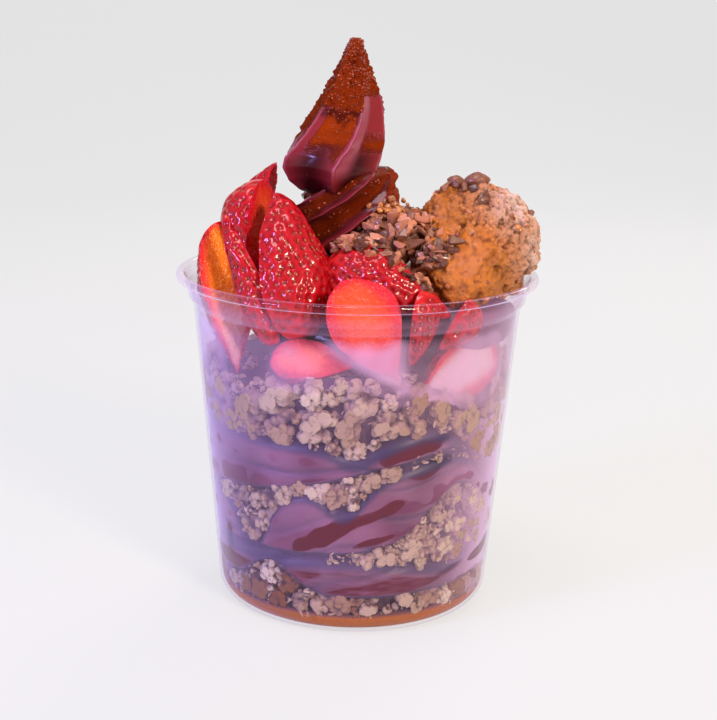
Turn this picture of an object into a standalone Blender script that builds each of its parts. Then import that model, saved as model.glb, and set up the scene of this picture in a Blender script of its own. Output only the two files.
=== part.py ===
"""Acai cup: a clear plastic deli cup layered with granola and folded acai soft-serve, topped with
a twisted acai peak, a rough scoop of nut butter, cacao nibs and cut strawberries.

Sizes are in millimetres and turned to metres as each mesh is made. +Z is up, the origin is the
middle of the cup's base, and the front of the cup looks along -Y. An angle round the cup is in
degrees, 0 at the front and growing towards +X.
"""
from collections import namedtuple
from math import asin, atan2, cos, degrees, exp, hypot, pi, radians, sin

import bmesh
import bpy
from mathutils import Matrix, Vector

METRES = 0.001
ROUND_STEPS = 40             # facets round the cup and round every layer in it
SHARP_ANGLE = 40.0           # edges sharper than this stay crisp, in degrees
MERGE_DISTANCE = 0.00001     # metres
GAP = 0.35                   # clear room kept between two touching pieces
CUTTER_ROOM = 0.75           # how far a cutter stands proud of the piece that it makes room for
CUTTER_SPREAD = 0.5          # share of the push that goes away from the cutter's middle

# The cup
CUP_HEIGHT = 108.0
RIM_RADIUS = 58.5            # outside of the rolled rim, for a 117 mm lid
RIM_ROLL = 1.4               # radius of the roll itself
ROLL_STEPS = 6
WALL = 1.0
FLOOR = 1.2
FOOT_RADIUS = 40.9
CORNER_HEIGHT = 5.8          # top of the rounded corner between foot and wall
CORNER_STEPS = 3
WALL_FOOT_RADIUS = 45.2      # outside of the wall at the top of that corner
WALL_TOP_RADIUS = 53.0       # outside of the wall under the stacking ledge
WALL_TOP = 98.0
LEDGE_TOP = 100.4
COLLAR_RADIUS = 54.8         # outside of the upright collar above the ledge
COLLAR_TOP = 104.8
COLLAR_FLARE = 0.3           # how much further out the collar stands at its top
COLLAR_EASE = 0.4            # how far under that top its inside turns into the roll
LEDGE_ROOM = 3.0             # how far above the ledge a topping still keeps to the wall below it

# The layers, from the floor up. Each surface between two layers has a height on the axis, a rise
# for each millimetre to the right, and swells against the wall: angle, width in degrees, height.
LEAST_LAYER = 1.6
Surface = namedtuple("Surface", "height rise swells")
SURFACES = (
    Surface(FLOOR, 0.0, ()),
    Surface(12.5, 0.0, ((-35, 14, 9), (150, 40, 3))),
    Surface(25.0, 0.04, ((40, 22, -5.5), (170, 50, 4))),
    Surface(27.5, 0.06, ((44, 20, 18), (190, 30, 6))),
    Surface(50.5, 0.25, ((-3, 10, -9), (-44, 11, -17), (66, 15, -14), (150, 28, -9))),
    Surface(53.0, 0.25, ((68, 16, -15), (180, 60, 4))),
    Surface(62.5, 0.0, ((0, 9, -4), (28, 14, 4), (68, 16, -18), (215, 35, -5))),
    Surface(80.0, 0.0, ((0, 30, 4), (17, 9, -4), (58, 20, -11), (-46, 14, -3), (215, 40, -3))),
)
LAYERS = (
    ("granola_base", "granola", 1.6),
    ("acai_lower", "acai", 0.0),
    ("granola_lower", "granola", 1.4),
    ("acai_middle", "acai", 0.0),
    ("granola_middle", "granola", 1.4),
    ("acai_upper", "acai", 0.0),
    ("granola_top", "granola", 1.6),
)
RING_SHARE = 0.62            # the ring between a layer's middle and its edge
SIDE_SHARE = 0.5             # where a lumpy side bends, as a share of the layer's height
LUMPS_ROUND = (9.0, 14.0)    # how often the two lump patterns come round the cup
LUMPS_UP = (0.35, 0.5)       # and how fast they shift with height

# The acai crown, coil and peak. Stations: height, radius, middle x, depth of the flutes, twist.
Station = namedtuple("Station", "height radius middle flute twist")
SWIRL_STATIONS = (
    Station(85.5, 27.0, -1.0, 0.04, -200),
    Station(96.0, 30.5, -1.0, 0.05, -190),
    Station(108.0, 28.0, -3.0, 0.08, -165),
    Station(115.0, 21.0, -6.0, 0.16, -135),
    Station(124.0, 19.0, -6.0, 0.24, -85),
    Station(131.0, 18.5, -5.5, 0.24, -50),
    Station(134.5, 14.0, -5.5, 0.16, -40),
    Station(138.0, 16.0, -8.0, 0.20, -30),
    Station(144.0, 17.0, -8.6, 0.26, -22),
    Station(151.0, 15.2, -6.4, 0.28, -10),
    Station(160.0, 11.2, -3.8, 0.28, -2),
    Station(167.0, 8.2, -3.0, 0.26, 0),
    Station(172.5, 5.6, -2.2, 0.20, 0),
    Station(179.0, 2.8, -1.9, 0.10, 0),
    Station(181.4, 1.0, -1.9, 0.0, 0),
)
SWIRL_DEPTH = 4.0            # how far behind the cup's axis the swirl stands
SWIRL_FLUTES = 6
SWIRL_FIRST_RIDGE = -42.0    # angle of the ridge to the left of the front, at the tip
SWIRL_ROWS = 30
FLUTE_SIDES = 6              # facets across one flute
COIL_LEAN = 0.20             # rise of the coil towards the right
COIL_HEIGHT = 136.0
COIL_REACH = 10.0
CROWN_FRONT = 14.0           # how much further the crown spreads at the front, low in the cup
CROWN_FRONT_HEIGHT = 90.0
CROWN_FRONT_WIDTH = 50.0

# The nut butter scoop and its ragged skirt
SCOOP_MIDDLE = (38.3, -5.0, 117.6)
SCOOP_RADII = (19.6, 19.4, 19.2)
SCOOP_ROUGHNESS = 0.7
SCOOP_SIDES, SCOOP_ROWS = 24, 14
SKIRT_DIRECTION = (-0.66, -0.70, -0.28)
SKIRT_REACH = 7.5
SKIRT_WIDTH = 0.5            # in radians round the scoop's middle

# The heap of cacao nibs between the swirl and the scoop
NIBS_MIDDLE = (10.3, -12.8, 119.2)
NIBS_RADII = (15.5, 10.0, 9.0)
NIBS_TILT = -24.0
NIBS_LUMPS = 1.0
NIBS_PATTERN = 1.7           # how much finer the heap's pattern is than the scoop's
NIBS_SIDES, NIBS_ROWS = 20, 8

# The strawberries: middle of the stem end, tip, greatest width, and where the piece looks: the
# cut face of a half, the nearer cut face of a slice, the middle of the skin of a wedge.
Berry = namedtuple("Berry", "stem tip width looks cut")
BERRIES = (
    Berry((-42.6, -8.5, 124.0), (-36.6, -29.5, 79.5), 20.5, (0.55, -0.83, 0.10), "slice"),
    Berry((-29.5, -3.0, 136.5), (-33.5, -12.0, 102.0), 26.0, (0.97, -0.22, 0.10), "half"),
    Berry((-37.0, 14.0, 108.0), (-26.7, 5.0, 141.5), 21.0, (0.93, -0.35, 0.10), "half"),
    Berry((-24.5, -33.0, 90.0), (-41.0, -22.0, 128.0), 12.5, (-0.15, -0.98, 0.0), "wedge"),
    Berry((-18.4, -29.6, 94.2), (-25.7, -13.5, 134.0), 28.0, (-0.80, 0.60, 0.0), "half"),
    Berry((-9.5, -22.0, 113.5), (28.5, -34.0, 100.0), 22.0, (-0.10, 0.50, -0.86), "half"),
    Berry((-4.5, -45.0, 112.5), (13.5, -46.5, 81.5), 22.0, (0.0, -1.0, 0.10), "slice"),
    Berry((20.0, -36.0, 108.5), (16.3, -40.5, 86.0), 13.0, (0.45, -0.88, 0.10), "wedge"),
    Berry((35.0, -29.5, 103.5), (25.0, -38.5, 91.0), 14.0, (0.55, -0.82, 0.10), "wedge"),
    Berry((44.0, -22.0, 88.0), (19.5, -44.0, 77.5), 21.0, (0.67, -0.74, 0.0), "half"),
    Berry((-25.5, -38.0, 88.0), (-0.5, -44.0, 87.0), 15.0, (0.0, -0.62, 0.78), "half"),
    Berry((2.0, 41.0, 109.0), (-13.0, 38.0, 85.0), 22.0, (0.10, 0.98, 0.15), "half"),
    Berry((19.0, 41.0, 87.0), (30.0, 27.0, 114.0), 20.0, (0.55, 0.83, 0.0), "slice"),
    Berry((44.0, 19.0, 106.0), (38.0, 22.0, 82.0), 20.0, (0.90, 0.43, 0.0), "slice"),
)
BERRY_SIDES = 14
BERRY_ROWS = 7
BERRY_SHOULDER = 0.66        # how near the stem end the berry is widest; smaller is nearer
BERRY_FULLNESS = 0.75        # smaller is fuller
SLICE_THICKNESS = 7.0
WEDGE_CORE = 0.06            # how far a wedge's edge stands off the core, as a share of the width
PRESSED = ((2, 1), (2, 4), (3, 2), (6, 5), (6, 7), (6, 8), (8, 7), (10, 7))

COLOURS = {                  # colour, roughness
    "clear_plastic": ((0.93, 0.88, 0.90), 0.12),
    "granola": ((0.58, 0.40, 0.26), 0.80),
    "acai": ((0.16, 0.04, 0.09), 0.35),
    "nut_butter": ((0.60, 0.34, 0.14), 0.55),
    "cacao": ((0.13, 0.06, 0.04), 0.65),
    "strawberry": ((0.72, 0.04, 0.04), 0.30),
}


def arc(middle, radii, first, last, steps):
    """Points (radius, height) on part of an ellipse, both ends included, angles in degrees."""
    turns = [radians(first + (last - first) * step / steps) for step in range(steps + 1)]
    return [(middle[0] + radii[0] * cos(turn), middle[1] + radii[1] * sin(turn)) for turn in turns]


def inner_radius(height):
    """Radius of the inside of the cup's wall at a height."""
    if height < CORNER_HEIGHT:
        drop = (CORNER_HEIGHT - max(height, FLOOR)) / (CORNER_HEIGHT - FLOOR)
        corner = WALL_FOOT_RADIUS - WALL - FOOT_RADIUS
        return FOOT_RADIUS + corner * cos(asin(drop))
    if height > WALL_TOP:
        share = min((height - WALL_TOP) / (LEDGE_TOP - WALL_TOP), 1.0)
        return WALL_TOP_RADIUS - WALL + share * (COLLAR_RADIUS - WALL_TOP_RADIUS)
    share = (height - CORNER_HEIGHT) / (WALL_TOP - CORNER_HEIGHT)
    return WALL_FOOT_RADIUS - WALL + share * (WALL_TOP_RADIUS - WALL_FOOT_RADIUS)


def around(angle, radius, height):
    """The point at an angle in degrees and a radius round the cup's axis."""
    return Vector((radius * sin(radians(angle)), -radius * cos(radians(angle)), height))


def swell(angle, middle, width):
    """1 at the middle angle, fading smoothly to 0 a few widths away, all in degrees."""
    away = (angle - middle + 180.0) % 360.0 - 180.0
    return exp(-(away / width) ** 2)


def lumps(angle, height):
    """An uneven, lumpy pattern between 0 and 1 round the cup."""
    first, second = [radians(angle) * times for times in LUMPS_ROUND]
    up, down = [height * rate for rate in LUMPS_UP]
    return 0.5 + 0.5 * sin(first + up) * sin(second - down + 1.0)


def levels(angle, share):
    """Heights of all the surfaces at a share of the way from the axis to the wall."""
    heights = []
    for surface in SURFACES:
        wall = sum(height * swell(angle, middle, width) for middle, width, height in surface.swells)
        across = WALL_FOOT_RADIUS * share * sin(radians(angle))
        height = surface.height + surface.rise * across + wall * share ** 3
        least = heights[-1] + LEAST_LAYER if heights else FLOOR
        heights.append(max(height, least))
    return heights


def finish(bm, name, kind, collection):
    """Make an object from a mesh in millimetres, with its own material."""
    bmesh.ops.transform(bm, matrix=Matrix.Scale(METRES, 4), verts=bm.verts)
    mesh = bpy.data.meshes.new(name)
    bm.to_mesh(mesh)
    bm.free()
    mesh.shade_smooth()
    mesh.set_sharp_from_angle(angle=radians(SHARP_ANGLE))
    thing = bpy.data.objects.new(name, mesh)
    collection.objects.link(thing)
    colour, roughness = COLOURS[kind]
    material = bpy.data.materials.new(f"{name}_{kind}")
    material.use_nodes = True
    shader = material.node_tree.nodes["Principled BSDF"]
    shader.inputs["Base Color"].default_value = (*colour, 1.0)
    shader.inputs["Roughness"].default_value = roughness
    shader.inputs["Metallic"].default_value = 0.0
    mesh.materials.append(material)
    return thing


def globe(sides, rows, place):
    """A ball whose points are moved by place(angle, row), row 0 at its foot and rows at its top."""
    bm = bmesh.new()
    bmesh.ops.create_uvsphere(bm, u_segments=sides, v_segments=rows, radius=1.0)
    for vert in bm.verts:
        row = round((asin(max(-1.0, min(1.0, vert.co.z))) / pi + 0.5) * rows)
        angle = degrees(atan2(vert.co.x, -vert.co.y))
        vert.co = place(angle, row)
    return bm


def split_quads(bm):
    """Split each quad along the diagonal that turns as it runs outwards.

    Two layers that share a surface are then split alike, and the gap between them stays even.
    """
    for face in bm.faces[:]:
        if len(face.verts) != 4:
            continue
        first, second, third, fourth = face.verts
        outwards = hypot(third.co.x, third.co.y) - hypot(first.co.x, first.co.y)
        turning = first.co.x * third.co.y - first.co.y * third.co.x
        pair = (first, third) if outwards * turning > 0.0 else (second, fourth)
        bmesh.utils.face_split(face, *pair)


def make_cup(collection):
    """Turn the cup from one profile: up its inside, over the rolled rim and down its outside."""
    roll_middle = (RIM_RADIUS - RIM_ROLL, CUP_HEIGHT - RIM_ROLL)
    corner_middle = (FOOT_RADIUS, CORNER_HEIGHT)
    outer_corner = (WALL_FOOT_RADIUS - FOOT_RADIUS, CORNER_HEIGHT)
    inner_corner = (outer_corner[0] - WALL, CORNER_HEIGHT - FLOOR)
    profile = [(0.0, FLOOR)]
    profile += arc(corner_middle, inner_corner, -90, 0, CORNER_STEPS)
    profile += [
        (WALL_TOP_RADIUS - WALL, WALL_TOP),
        (COLLAR_RADIUS - WALL, LEDGE_TOP),
        (COLLAR_RADIUS - WALL + COLLAR_FLARE, COLLAR_TOP - COLLAR_EASE),
    ]
    profile += arc(roll_middle, (RIM_ROLL, RIM_ROLL), 180, -90, ROLL_STEPS)
    profile += [
        (COLLAR_RADIUS + COLLAR_FLARE, COLLAR_TOP),
        (COLLAR_RADIUS, LEDGE_TOP),
        (WALL_TOP_RADIUS, WALL_TOP),
    ]
    profile += arc(corner_middle, outer_corner, 0, -90, CORNER_STEPS)
    profile += [(0.0, 0.0)]

    bm = bmesh.new()
    points = [bm.verts.new((radius, 0.0, height)) for radius, height in profile]
    for first, second in zip(points, points[1:]):
        bm.edges.new((first, second))
    cup = finish(bm, "cup", "clear_plastic", collection)
    screw = cup.modifiers.new("turn", "SCREW")
    screw.steps = ROUND_STEPS
    screw.render_steps = ROUND_STEPS
    screw.use_merge_vertices = True
    screw.merge_threshold = MERGE_DISTANCE
    return cup


def make_layer(index, collection):
    """One layer between two neighbouring surfaces, out to the cup's wall."""
    name, kind, lump_depth = LAYERS[index]
    shares = [0.0, RING_SHARE, 1.0, 1.0, RING_SHARE, 0.0]
    rises = [0.0, 0.0, 0.0, 1.0, 1.0, 1.0]
    if lump_depth:
        shares.insert(3, 1.0)
        rises.insert(3, SIDE_SHARE)

    def place(angle, row):
        share = shares[row]
        low, high = levels(angle, share)[index:index + 2]
        height = low + GAP / 2 + (high - low - GAP) * rises[row]
        if index == 0:
            height = max(height, FLOOR + GAP)
        radius = share * (inner_radius(height) - GAP)
        if rises[row] == SIDE_SHARE:
            radius -= lump_depth * lumps(angle, height)
        return around(angle, radius, height)

    bm = globe(ROUND_STEPS, len(shares) - 1, place)
    split_quads(bm)
    return finish(bm, name, kind, collection)


def station_at(height):
    """The swirl's station at any height, blended smoothly between the two nearest."""
    if height <= SWIRL_STATIONS[0].height:
        return SWIRL_STATIONS[0]
    for low, high in zip(SWIRL_STATIONS, SWIRL_STATIONS[1:]):
        if height <= high.height:
            share = (height - low.height) / (high.height - low.height)
            return Station(*(a + (b - a) * share for a, b in zip(low, high)))
    return SWIRL_STATIONS[-1]


def make_swirl(collection):
    """Crown, coil and twisted peak in one piece, its mesh turning with its flutes."""
    sides = SWIRL_FLUTES * FLUTE_SIDES
    foot = SWIRL_STATIONS[0].height
    tip = SWIRL_STATIONS[-1].height

    def place(angle, row):
        if row in (0, SWIRL_ROWS):
            end = SWIRL_STATIONS[0 if row == 0 else -1]
            return Vector((end.middle, SWIRL_DEPTH, end.height))
        height = foot + (tip - foot) * (row - 1) / (SWIRL_ROWS - 2)
        station = station_at(height)
        flute = abs(sin(radians(SWIRL_FLUTES * angle / 2.0)))
        radius = station.radius * (1.0 - station.flute * flute)
        turn = angle + SWIRL_FIRST_RIDGE + station.twist
        low = exp(-((height - CROWN_FRONT_HEIGHT) / COIL_REACH) ** 2)
        radius += CROWN_FRONT * low * swell(turn, 0.0, CROWN_FRONT_WIDTH)
        turned = radians(turn)
        across = radius * sin(turned)
        lean = COIL_LEAN * across * exp(-((height - COIL_HEIGHT) / COIL_REACH) ** 2)
        return Vector((station.middle + across, SWIRL_DEPTH - radius * cos(turned), height + lean))

    return finish(globe(sides, SWIRL_ROWS, place), "acai_swirl", "acai", collection)


def roughness_at(direction):
    """An uneven pattern between -1 and 1 over a ball."""
    x, y, z = direction
    return sin(7.0 * x + 3.0 * z) * sin(6.0 * y - 4.0 * x) + 0.5 * sin(9.0 * z + 5.0 * y)


def inside_wall(point):
    """Bring a point that stands in the cup's wall back to just inside it."""
    radius = hypot(point.x, point.y)
    most = inner_radius(point.z - LEDGE_ROOM) * cos(pi / ROUND_STEPS) - GAP
    if point.z > CUP_HEIGHT + RIM_ROLL or radius <= most:
        return point
    return Vector((point.x * most / radius, point.y * most / radius, point.z))


def make_scoop(collection):
    """The rough ball of nut butter, with the skirt that the spoon left at its front."""
    skirt = Vector(SKIRT_DIRECTION).normalized()

    def place(angle, row):
        rise = radians(180.0 * row / SCOOP_ROWS - 90.0)
        direction = around(angle, cos(rise), sin(rise))
        reach = SKIRT_REACH * exp(-(direction.angle(skirt) / SKIRT_WIDTH) ** 2)
        reach += SCOOP_ROUGHNESS * roughness_at(direction)
        ball = Vector(radius * share for radius, share in zip(SCOOP_RADII, direction))
        return inside_wall(Vector(SCOOP_MIDDLE) + ball + direction * reach)

    ball = globe(SCOOP_SIDES, SCOOP_ROWS, place)
    return finish(ball, "nut_butter_scoop", "nut_butter", collection)


def make_nibs(collection):
    """The heap of cacao nibs, solid out to its uneven outline."""
    tilt = Matrix.Rotation(radians(NIBS_TILT), 3, "Y")

    def place(angle, row):
        rise = radians(180.0 * row / NIBS_ROWS - 90.0)
        direction = around(angle, cos(rise), sin(rise))
        lump = NIBS_LUMPS * roughness_at(direction * NIBS_PATTERN)
        heap = Vector(radius * share for radius, share in zip(NIBS_RADII, direction))
        return Vector(NIBS_MIDDLE) + tilt @ (heap + direction * lump)

    mound = globe(NIBS_SIDES, NIBS_ROWS, place)
    return finish(mound, "cacao_nibs", "cacao", collection)


def cut_away(bm, middle, looks):
    """Cut off what lies on the side that `looks` points to, and close the cut."""
    every = bm.verts[:] + bm.edges[:] + bm.faces[:]
    bmesh.ops.bisect_plane(bm, geom=every, plane_co=middle, plane_no=looks, clear_outer=True)
    rim = [edge for edge in bm.edges if edge.is_boundary]
    bmesh.ops.holes_fill(bm, edges=rim)


def make_berry(number, berry, collection):
    """A cut piece of a strawberry, its cuts running along it from the stem end to the tip."""
    stem = Vector(berry.stem)
    along = Vector(berry.tip) - stem
    looks = Vector(berry.looks)
    looks = (looks - looks.project(along)).normalized()
    beside = along.cross(looks).normalized()

    def place(angle, row):
        share = (1.0 - cos(pi * row / BERRY_ROWS)) / 2.0
        around_it = looks * cos(radians(angle)) + beside * sin(radians(angle))
        fullness = max(sin(pi * share ** BERRY_SHOULDER), 0.0) ** BERRY_FULLNESS
        return stem + along * share + around_it * fullness * berry.width / 2.0

    bm = globe(BERRY_SIDES, BERRY_ROWS, place)
    middle = stem + along / 2.0
    if berry.cut == "wedge":
        core = middle - looks * berry.width * WEDGE_CORE
        cut_away(bm, core, beside - looks)
        cut_away(bm, core, -beside - looks)
    else:
        cut_away(bm, middle, looks)
    if berry.cut == "slice":
        cut_away(bm, middle - looks * SLICE_THICKNESS, -looks)
    for vert in bm.verts:
        vert.co = inside_wall(vert.co)
    return finish(bm, f"strawberry_{number:02d}", "strawberry", collection)


def make_room(thing, neighbour, cutters):
    """Cut room for a neighbour out of a soft piece, a little larger than the neighbour."""
    name = f"room_for_{neighbour.name}"
    cutter = bpy.data.objects.get(name)
    if cutter is None:
        mesh = neighbour.data.copy()
        middle = sum((vert.co for vert in mesh.vertices), Vector()) / len(mesh.vertices)
        shifts = [
            vert.normal + (vert.co - middle).normalized() * CUTTER_SPREAD
            for vert in mesh.vertices
        ]
        for vert, shift in zip(mesh.vertices, shifts):
            vert.co += shift * CUTTER_ROOM * METRES
        cutter = bpy.data.objects.new(name, mesh)
        cutter.hide_render = True
        cutter.display_type = "WIRE"
        cutters.objects.link(cutter)
    boolean = thing.modifiers.new(name, "BOOLEAN")
    boolean.operation = "DIFFERENCE"
    boolean.solver = "EXACT"
    boolean.object = cutter


def main():
    for thing in list(bpy.data.objects):
        bpy.data.objects.remove(thing, do_unlink=True)
    parts = bpy.data.collections.new("acai_cup")
    cutters = bpy.data.collections.new("cutters")
    bpy.context.scene.collection.children.link(parts)
    bpy.context.scene.collection.children.link(cutters)

    make_cup(parts)
    layers = [make_layer(index, parts) for index in range(len(LAYERS))]
    swirl = make_swirl(parts)
    scoop = make_scoop(parts)
    nibs = make_nibs(parts)
    berries = [make_berry(number, berry, parts) for number, berry in enumerate(BERRIES, start=1)]

    soft_pieces = (
        (layers[-1], [swirl] + [berries[number - 1] for number in (1, 7, 10, 11, 13, 14)]),
        (swirl, [scoop] + berries),
        (scoop, [berries[number - 1] for number in (6, 8, 9, 10, 14)]),
        (nibs, [swirl, scoop, berries[5]]),
    )
    for thing, neighbours in soft_pieces:
        for neighbour in neighbours:
            make_room(thing, neighbour, cutters)
    for softer, firmer in PRESSED:
        make_room(berries[softer - 1], berries[firmer - 1], cutters)


main()
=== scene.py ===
"""Dressing of an acai cup: a clear deli cup layered with granola and folded acai soft-serve, topped
with a twisted acai peak, a scoop of nut butter, cacao nibs and cut strawberries.

Lengths are in millimetres and become metres as each mesh is made. An angle round the cup is in
degrees, 0 at the front (-Y) and growing towards +X.
"""
import logging
from collections.abc import Callable, Sequence
from dataclasses import dataclass, field
from enum import Enum
from math import acos, asin, atan2, cos, degrees, exp, hypot, pi, radians, sin, sqrt
from random import Random
from typing import NamedTuple

import bpy
from mathutils import Matrix, Vector, noise
from mathutils.kdtree import KDTree


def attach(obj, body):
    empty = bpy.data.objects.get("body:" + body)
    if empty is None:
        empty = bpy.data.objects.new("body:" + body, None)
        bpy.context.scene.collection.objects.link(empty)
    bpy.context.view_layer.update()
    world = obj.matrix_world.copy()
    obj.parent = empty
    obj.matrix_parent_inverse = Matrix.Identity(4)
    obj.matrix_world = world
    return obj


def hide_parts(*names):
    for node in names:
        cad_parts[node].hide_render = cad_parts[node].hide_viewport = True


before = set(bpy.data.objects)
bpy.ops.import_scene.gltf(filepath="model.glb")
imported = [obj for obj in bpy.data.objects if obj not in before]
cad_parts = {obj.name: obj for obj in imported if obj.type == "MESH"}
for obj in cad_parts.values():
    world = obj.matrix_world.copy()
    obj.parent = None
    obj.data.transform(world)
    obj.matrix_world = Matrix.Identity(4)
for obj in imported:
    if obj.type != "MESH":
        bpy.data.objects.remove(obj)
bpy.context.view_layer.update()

MM = 0.001
SEAM = 0.000001              # in metres: a ball's points closer than this become one
WELD = 0.00003               # in metres: the same for the cup
WALL_RADIUS = 48.0           # mean radius of the wall, which turns an angle into a length along it
LOG = logging.getLogger("acai_cup")

Triple = tuple[float, float, float]
Paint = Triple
Spot = tuple[Vector, Paint]
Place = Callable[[float, float], Spot]
Piece = bpy.types.Object
Material = bpy.types.Material
Tree = bpy.types.NodeTree
Socket = bpy.types.NodeSocket


# ---------------------------------------------------------------- small helpers

def linear(code: str, alpha: float = 1.0) -> tuple[float, float, float, float]:
    """Turn an sRGB hex colour to linear.

    Args:
        code: the colour as six hex digits.
        alpha: its opacity.

    Returns:
        Red, green, blue and alpha.
    """
    channels = [int(code[start:start + 2], 16) / 255.0 for start in (0, 2, 4)]
    turned = [c / 12.92 if c <= 0.04045 else ((c + 0.055) / 1.055) ** 2.4 for c in channels]
    return (*turned, alpha)


def limit(value: float, low: float = 0.0, high: float = 1.0) -> float:
    """Keep a value between two limits."""
    return max(low, min(high, value))


def ease(low: float, high: float, value: float) -> float:
    """Go smoothly from 0 at `low` to 1 at `high`."""
    share = limit((value - low) / (high - low))
    return share * share * (3.0 - 2.0 * share)


def bell(angle: float, middle: float, width: float) -> float:
    """1 at the middle angle, fading smoothly to 0 a few widths away, all in degrees."""
    away = (angle - middle + 180.0) % 360.0 - 180.0
    return exp(-(away / width) ** 2)


def around(angle: float, radius: float, height: float) -> Vector:
    """The point at an angle in degrees and a radius round the cup's axis."""
    return Vector((radius * sin(radians(angle)), -radius * cos(radians(angle)), height))


def ripple(point: Vector, size: float, seed: float = 0.0) -> float:
    """Smooth noise between about -1 and 1, with bumps `size` mm across."""
    return noise.noise(Vector((point.x / size + seed, point.y / size - seed, point.z / size)))


def pebbles(point: Vector, size: float, seed: float = 0.0) -> float:
    """Round grains `size` mm across pressed together: 1 on their tops, falling to 0 in the pits."""
    near = noise.voronoi(Vector((point.x / size - seed, point.y / size, point.z / size + seed)))[0]
    return sqrt(max(0.0, 1.0 - (1.25 * near[0]) ** 2))


def clear_selection() -> None:
    """Leave edit mode and deselect everything."""
    if bpy.context.object and bpy.context.object.mode != "OBJECT":
        bpy.ops.object.mode_set(mode="OBJECT")
    bpy.ops.object.select_all(action="DESELECT")


def name_piece(name: str) -> Piece:
    """Name the active object and its mesh, and return it."""
    piece = bpy.context.active_object
    piece.name = piece.data.name = name
    return piece


def add_paint(mesh: bpy.types.Mesh) -> bpy.types.Attribute:
    """Give a mesh's points a paint: three numbers that its finish reads."""
    return mesh.attributes.new("paint", "FLOAT_COLOR", "POINT")


def dress(piece: Piece, *materials: Material) -> None:
    """Give a new piece its materials, in the order of its slots."""
    for material in materials:
        piece.data.materials.append(material)


def mould_ball(name: str, sides: int, rows: int, place: Place, *materials: Material,
               slot_at: Callable[[float], int] | None = None) -> Piece:
    """Roll a grid up into a closed ball, with each of its points where the piece wants it.

    Args:
        name: the piece's name.
        sides: how many steps go round.
        rows: how many steps go from the foot to the top.
        place: gives a point in millimetres and its paint for an angle and a share of the way up.
        materials: its finishes, in the order of its slots.
        slot_at: gives a face's material slot for the angle of its middle.

    Returns:
        The piece, smooth shaded, with its paint in an attribute.
    """
    clear_selection()
    bpy.ops.mesh.primitive_grid_add(x_subdivisions=sides, y_subdivisions=rows, size=2.0)
    piece = name_piece(name)
    slots = piece.data.attributes.new("slot", "INT", "FACE")
    for face, slot in zip(piece.data.polygons, slots.data):
        slot.value = slot_at(180.0 * face.center.x) if slot_at else 0
    paint = add_paint(piece.data)
    for vertex, colour in zip(piece.data.vertices, paint.data):
        row = round((vertex.co.y + 1.0) / 2.0 * rows)
        point, look = place(180.0 * vertex.co.x, row / rows)
        vertex.co = point * MM
        colour.color = (*look, 1.0)
    bpy.ops.object.mode_set(mode="EDIT")
    bpy.ops.mesh.select_all(action="SELECT")
    bpy.ops.mesh.remove_doubles(threshold=SEAM)
    bpy.ops.object.mode_set(mode="OBJECT")
    bpy.ops.object.shade_smooth()
    for face, slot in zip(piece.data.polygons, piece.data.attributes["slot"].data):
        face.material_index = slot.value
    dress(piece, *materials)
    return piece


def join_pieces(name: str, pieces: Sequence[Piece]) -> Piece:
    """Join several objects into the first of them.

    Args:
        name: the joined piece's name.
        pieces: the objects to join.

    Returns:
        The joined piece.
    """
    clear_selection()
    for piece in pieces:
        piece.select_set(True)
    bpy.context.view_layer.objects.active = pieces[0]
    bpy.ops.object.join()
    return name_piece(name)


class Copy(NamedTuple):
    """One placed copy of a template."""
    template: int
    place: Matrix
    tone: float
    stain: float


def lay_copies(name: str, templates: Sequence[Piece], copies: Sequence[Copy],
               settle: Callable[[Vector], Vector], material: Material) -> Piece:
    """Lay many copies of a few templates into one piece.

    Args:
        name: the piece's name.
        templates: small meshes about 1 mm in radius.
        copies: where each copy goes and how it is coloured.
        settle: moves a point in millimetres to where it can lie.
        material: their finish.

    Returns:
        The piece, smooth shaded, with tone, stain and relief in its paint.
    """
    points: list[Vector] = []
    faces: list[list[int]] = []
    paints: list[Paint] = []
    shapes = []
    for template in templates:
        relief = [spot.color[0] for spot in template.data.attributes["paint"].data]
        shapes.append(([vertex.co.copy() for vertex in template.data.vertices], relief,
                       [list(face.vertices) for face in template.data.polygons]))
    for copy in copies:
        spots, relief, sides = shapes[copy.template]
        first = len(points)
        points += [settle(copy.place @ spot) * MM for spot in spots]
        paints += [(copy.tone, copy.stain, height) for height in relief]
        faces += [[first + corner for corner in side] for side in sides]
    mesh = bpy.data.meshes.new(name)
    mesh.from_pydata(points, [], faces)
    paint = add_paint(mesh)
    for spot, look in zip(paint.data, paints):
        spot.color = (*look, 1.0)
    piece = bpy.data.objects.new(name, mesh)
    bpy.context.scene.collection.objects.link(piece)
    mesh.shade_smooth()
    dress(piece, material)
    LOG.info("%s: %d laid", name, len(copies))
    return piece


def turn_at_random(chance: Random) -> Matrix:
    """A turn by any angle about any axis."""
    angle = chance.uniform(0, 2 * pi)
    axis = Vector((chance.uniform(-1, 1), chance.uniform(-1, 1), chance.uniform(-1, 1)))
    return Matrix.Rotation(angle, 4, axis.normalized())


def tumble(chance: Random, point: Vector, size: float) -> Matrix:
    """Turn a copy at random, scale it and put it at a point.

    Args:
        chance: what the draws are taken from.
        point: where the copy goes, in millimetres.
        size: its radius.

    Returns:
        The copy's place.
    """
    way = Vector((chance.uniform(-1, 1), chance.uniform(-1, 1), chance.uniform(-1, 1))).normalized()
    turn = Matrix.Rotation(chance.uniform(0, 2 * pi), 4, way)
    stretch = Matrix.Diagonal(Vector((chance.uniform(0.8, 1.4), 1.0, chance.uniform(0.6, 1.0), 1.0)))
    return Matrix.Translation(point) @ turn @ stretch @ Matrix.Scale(size, 4)


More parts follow.
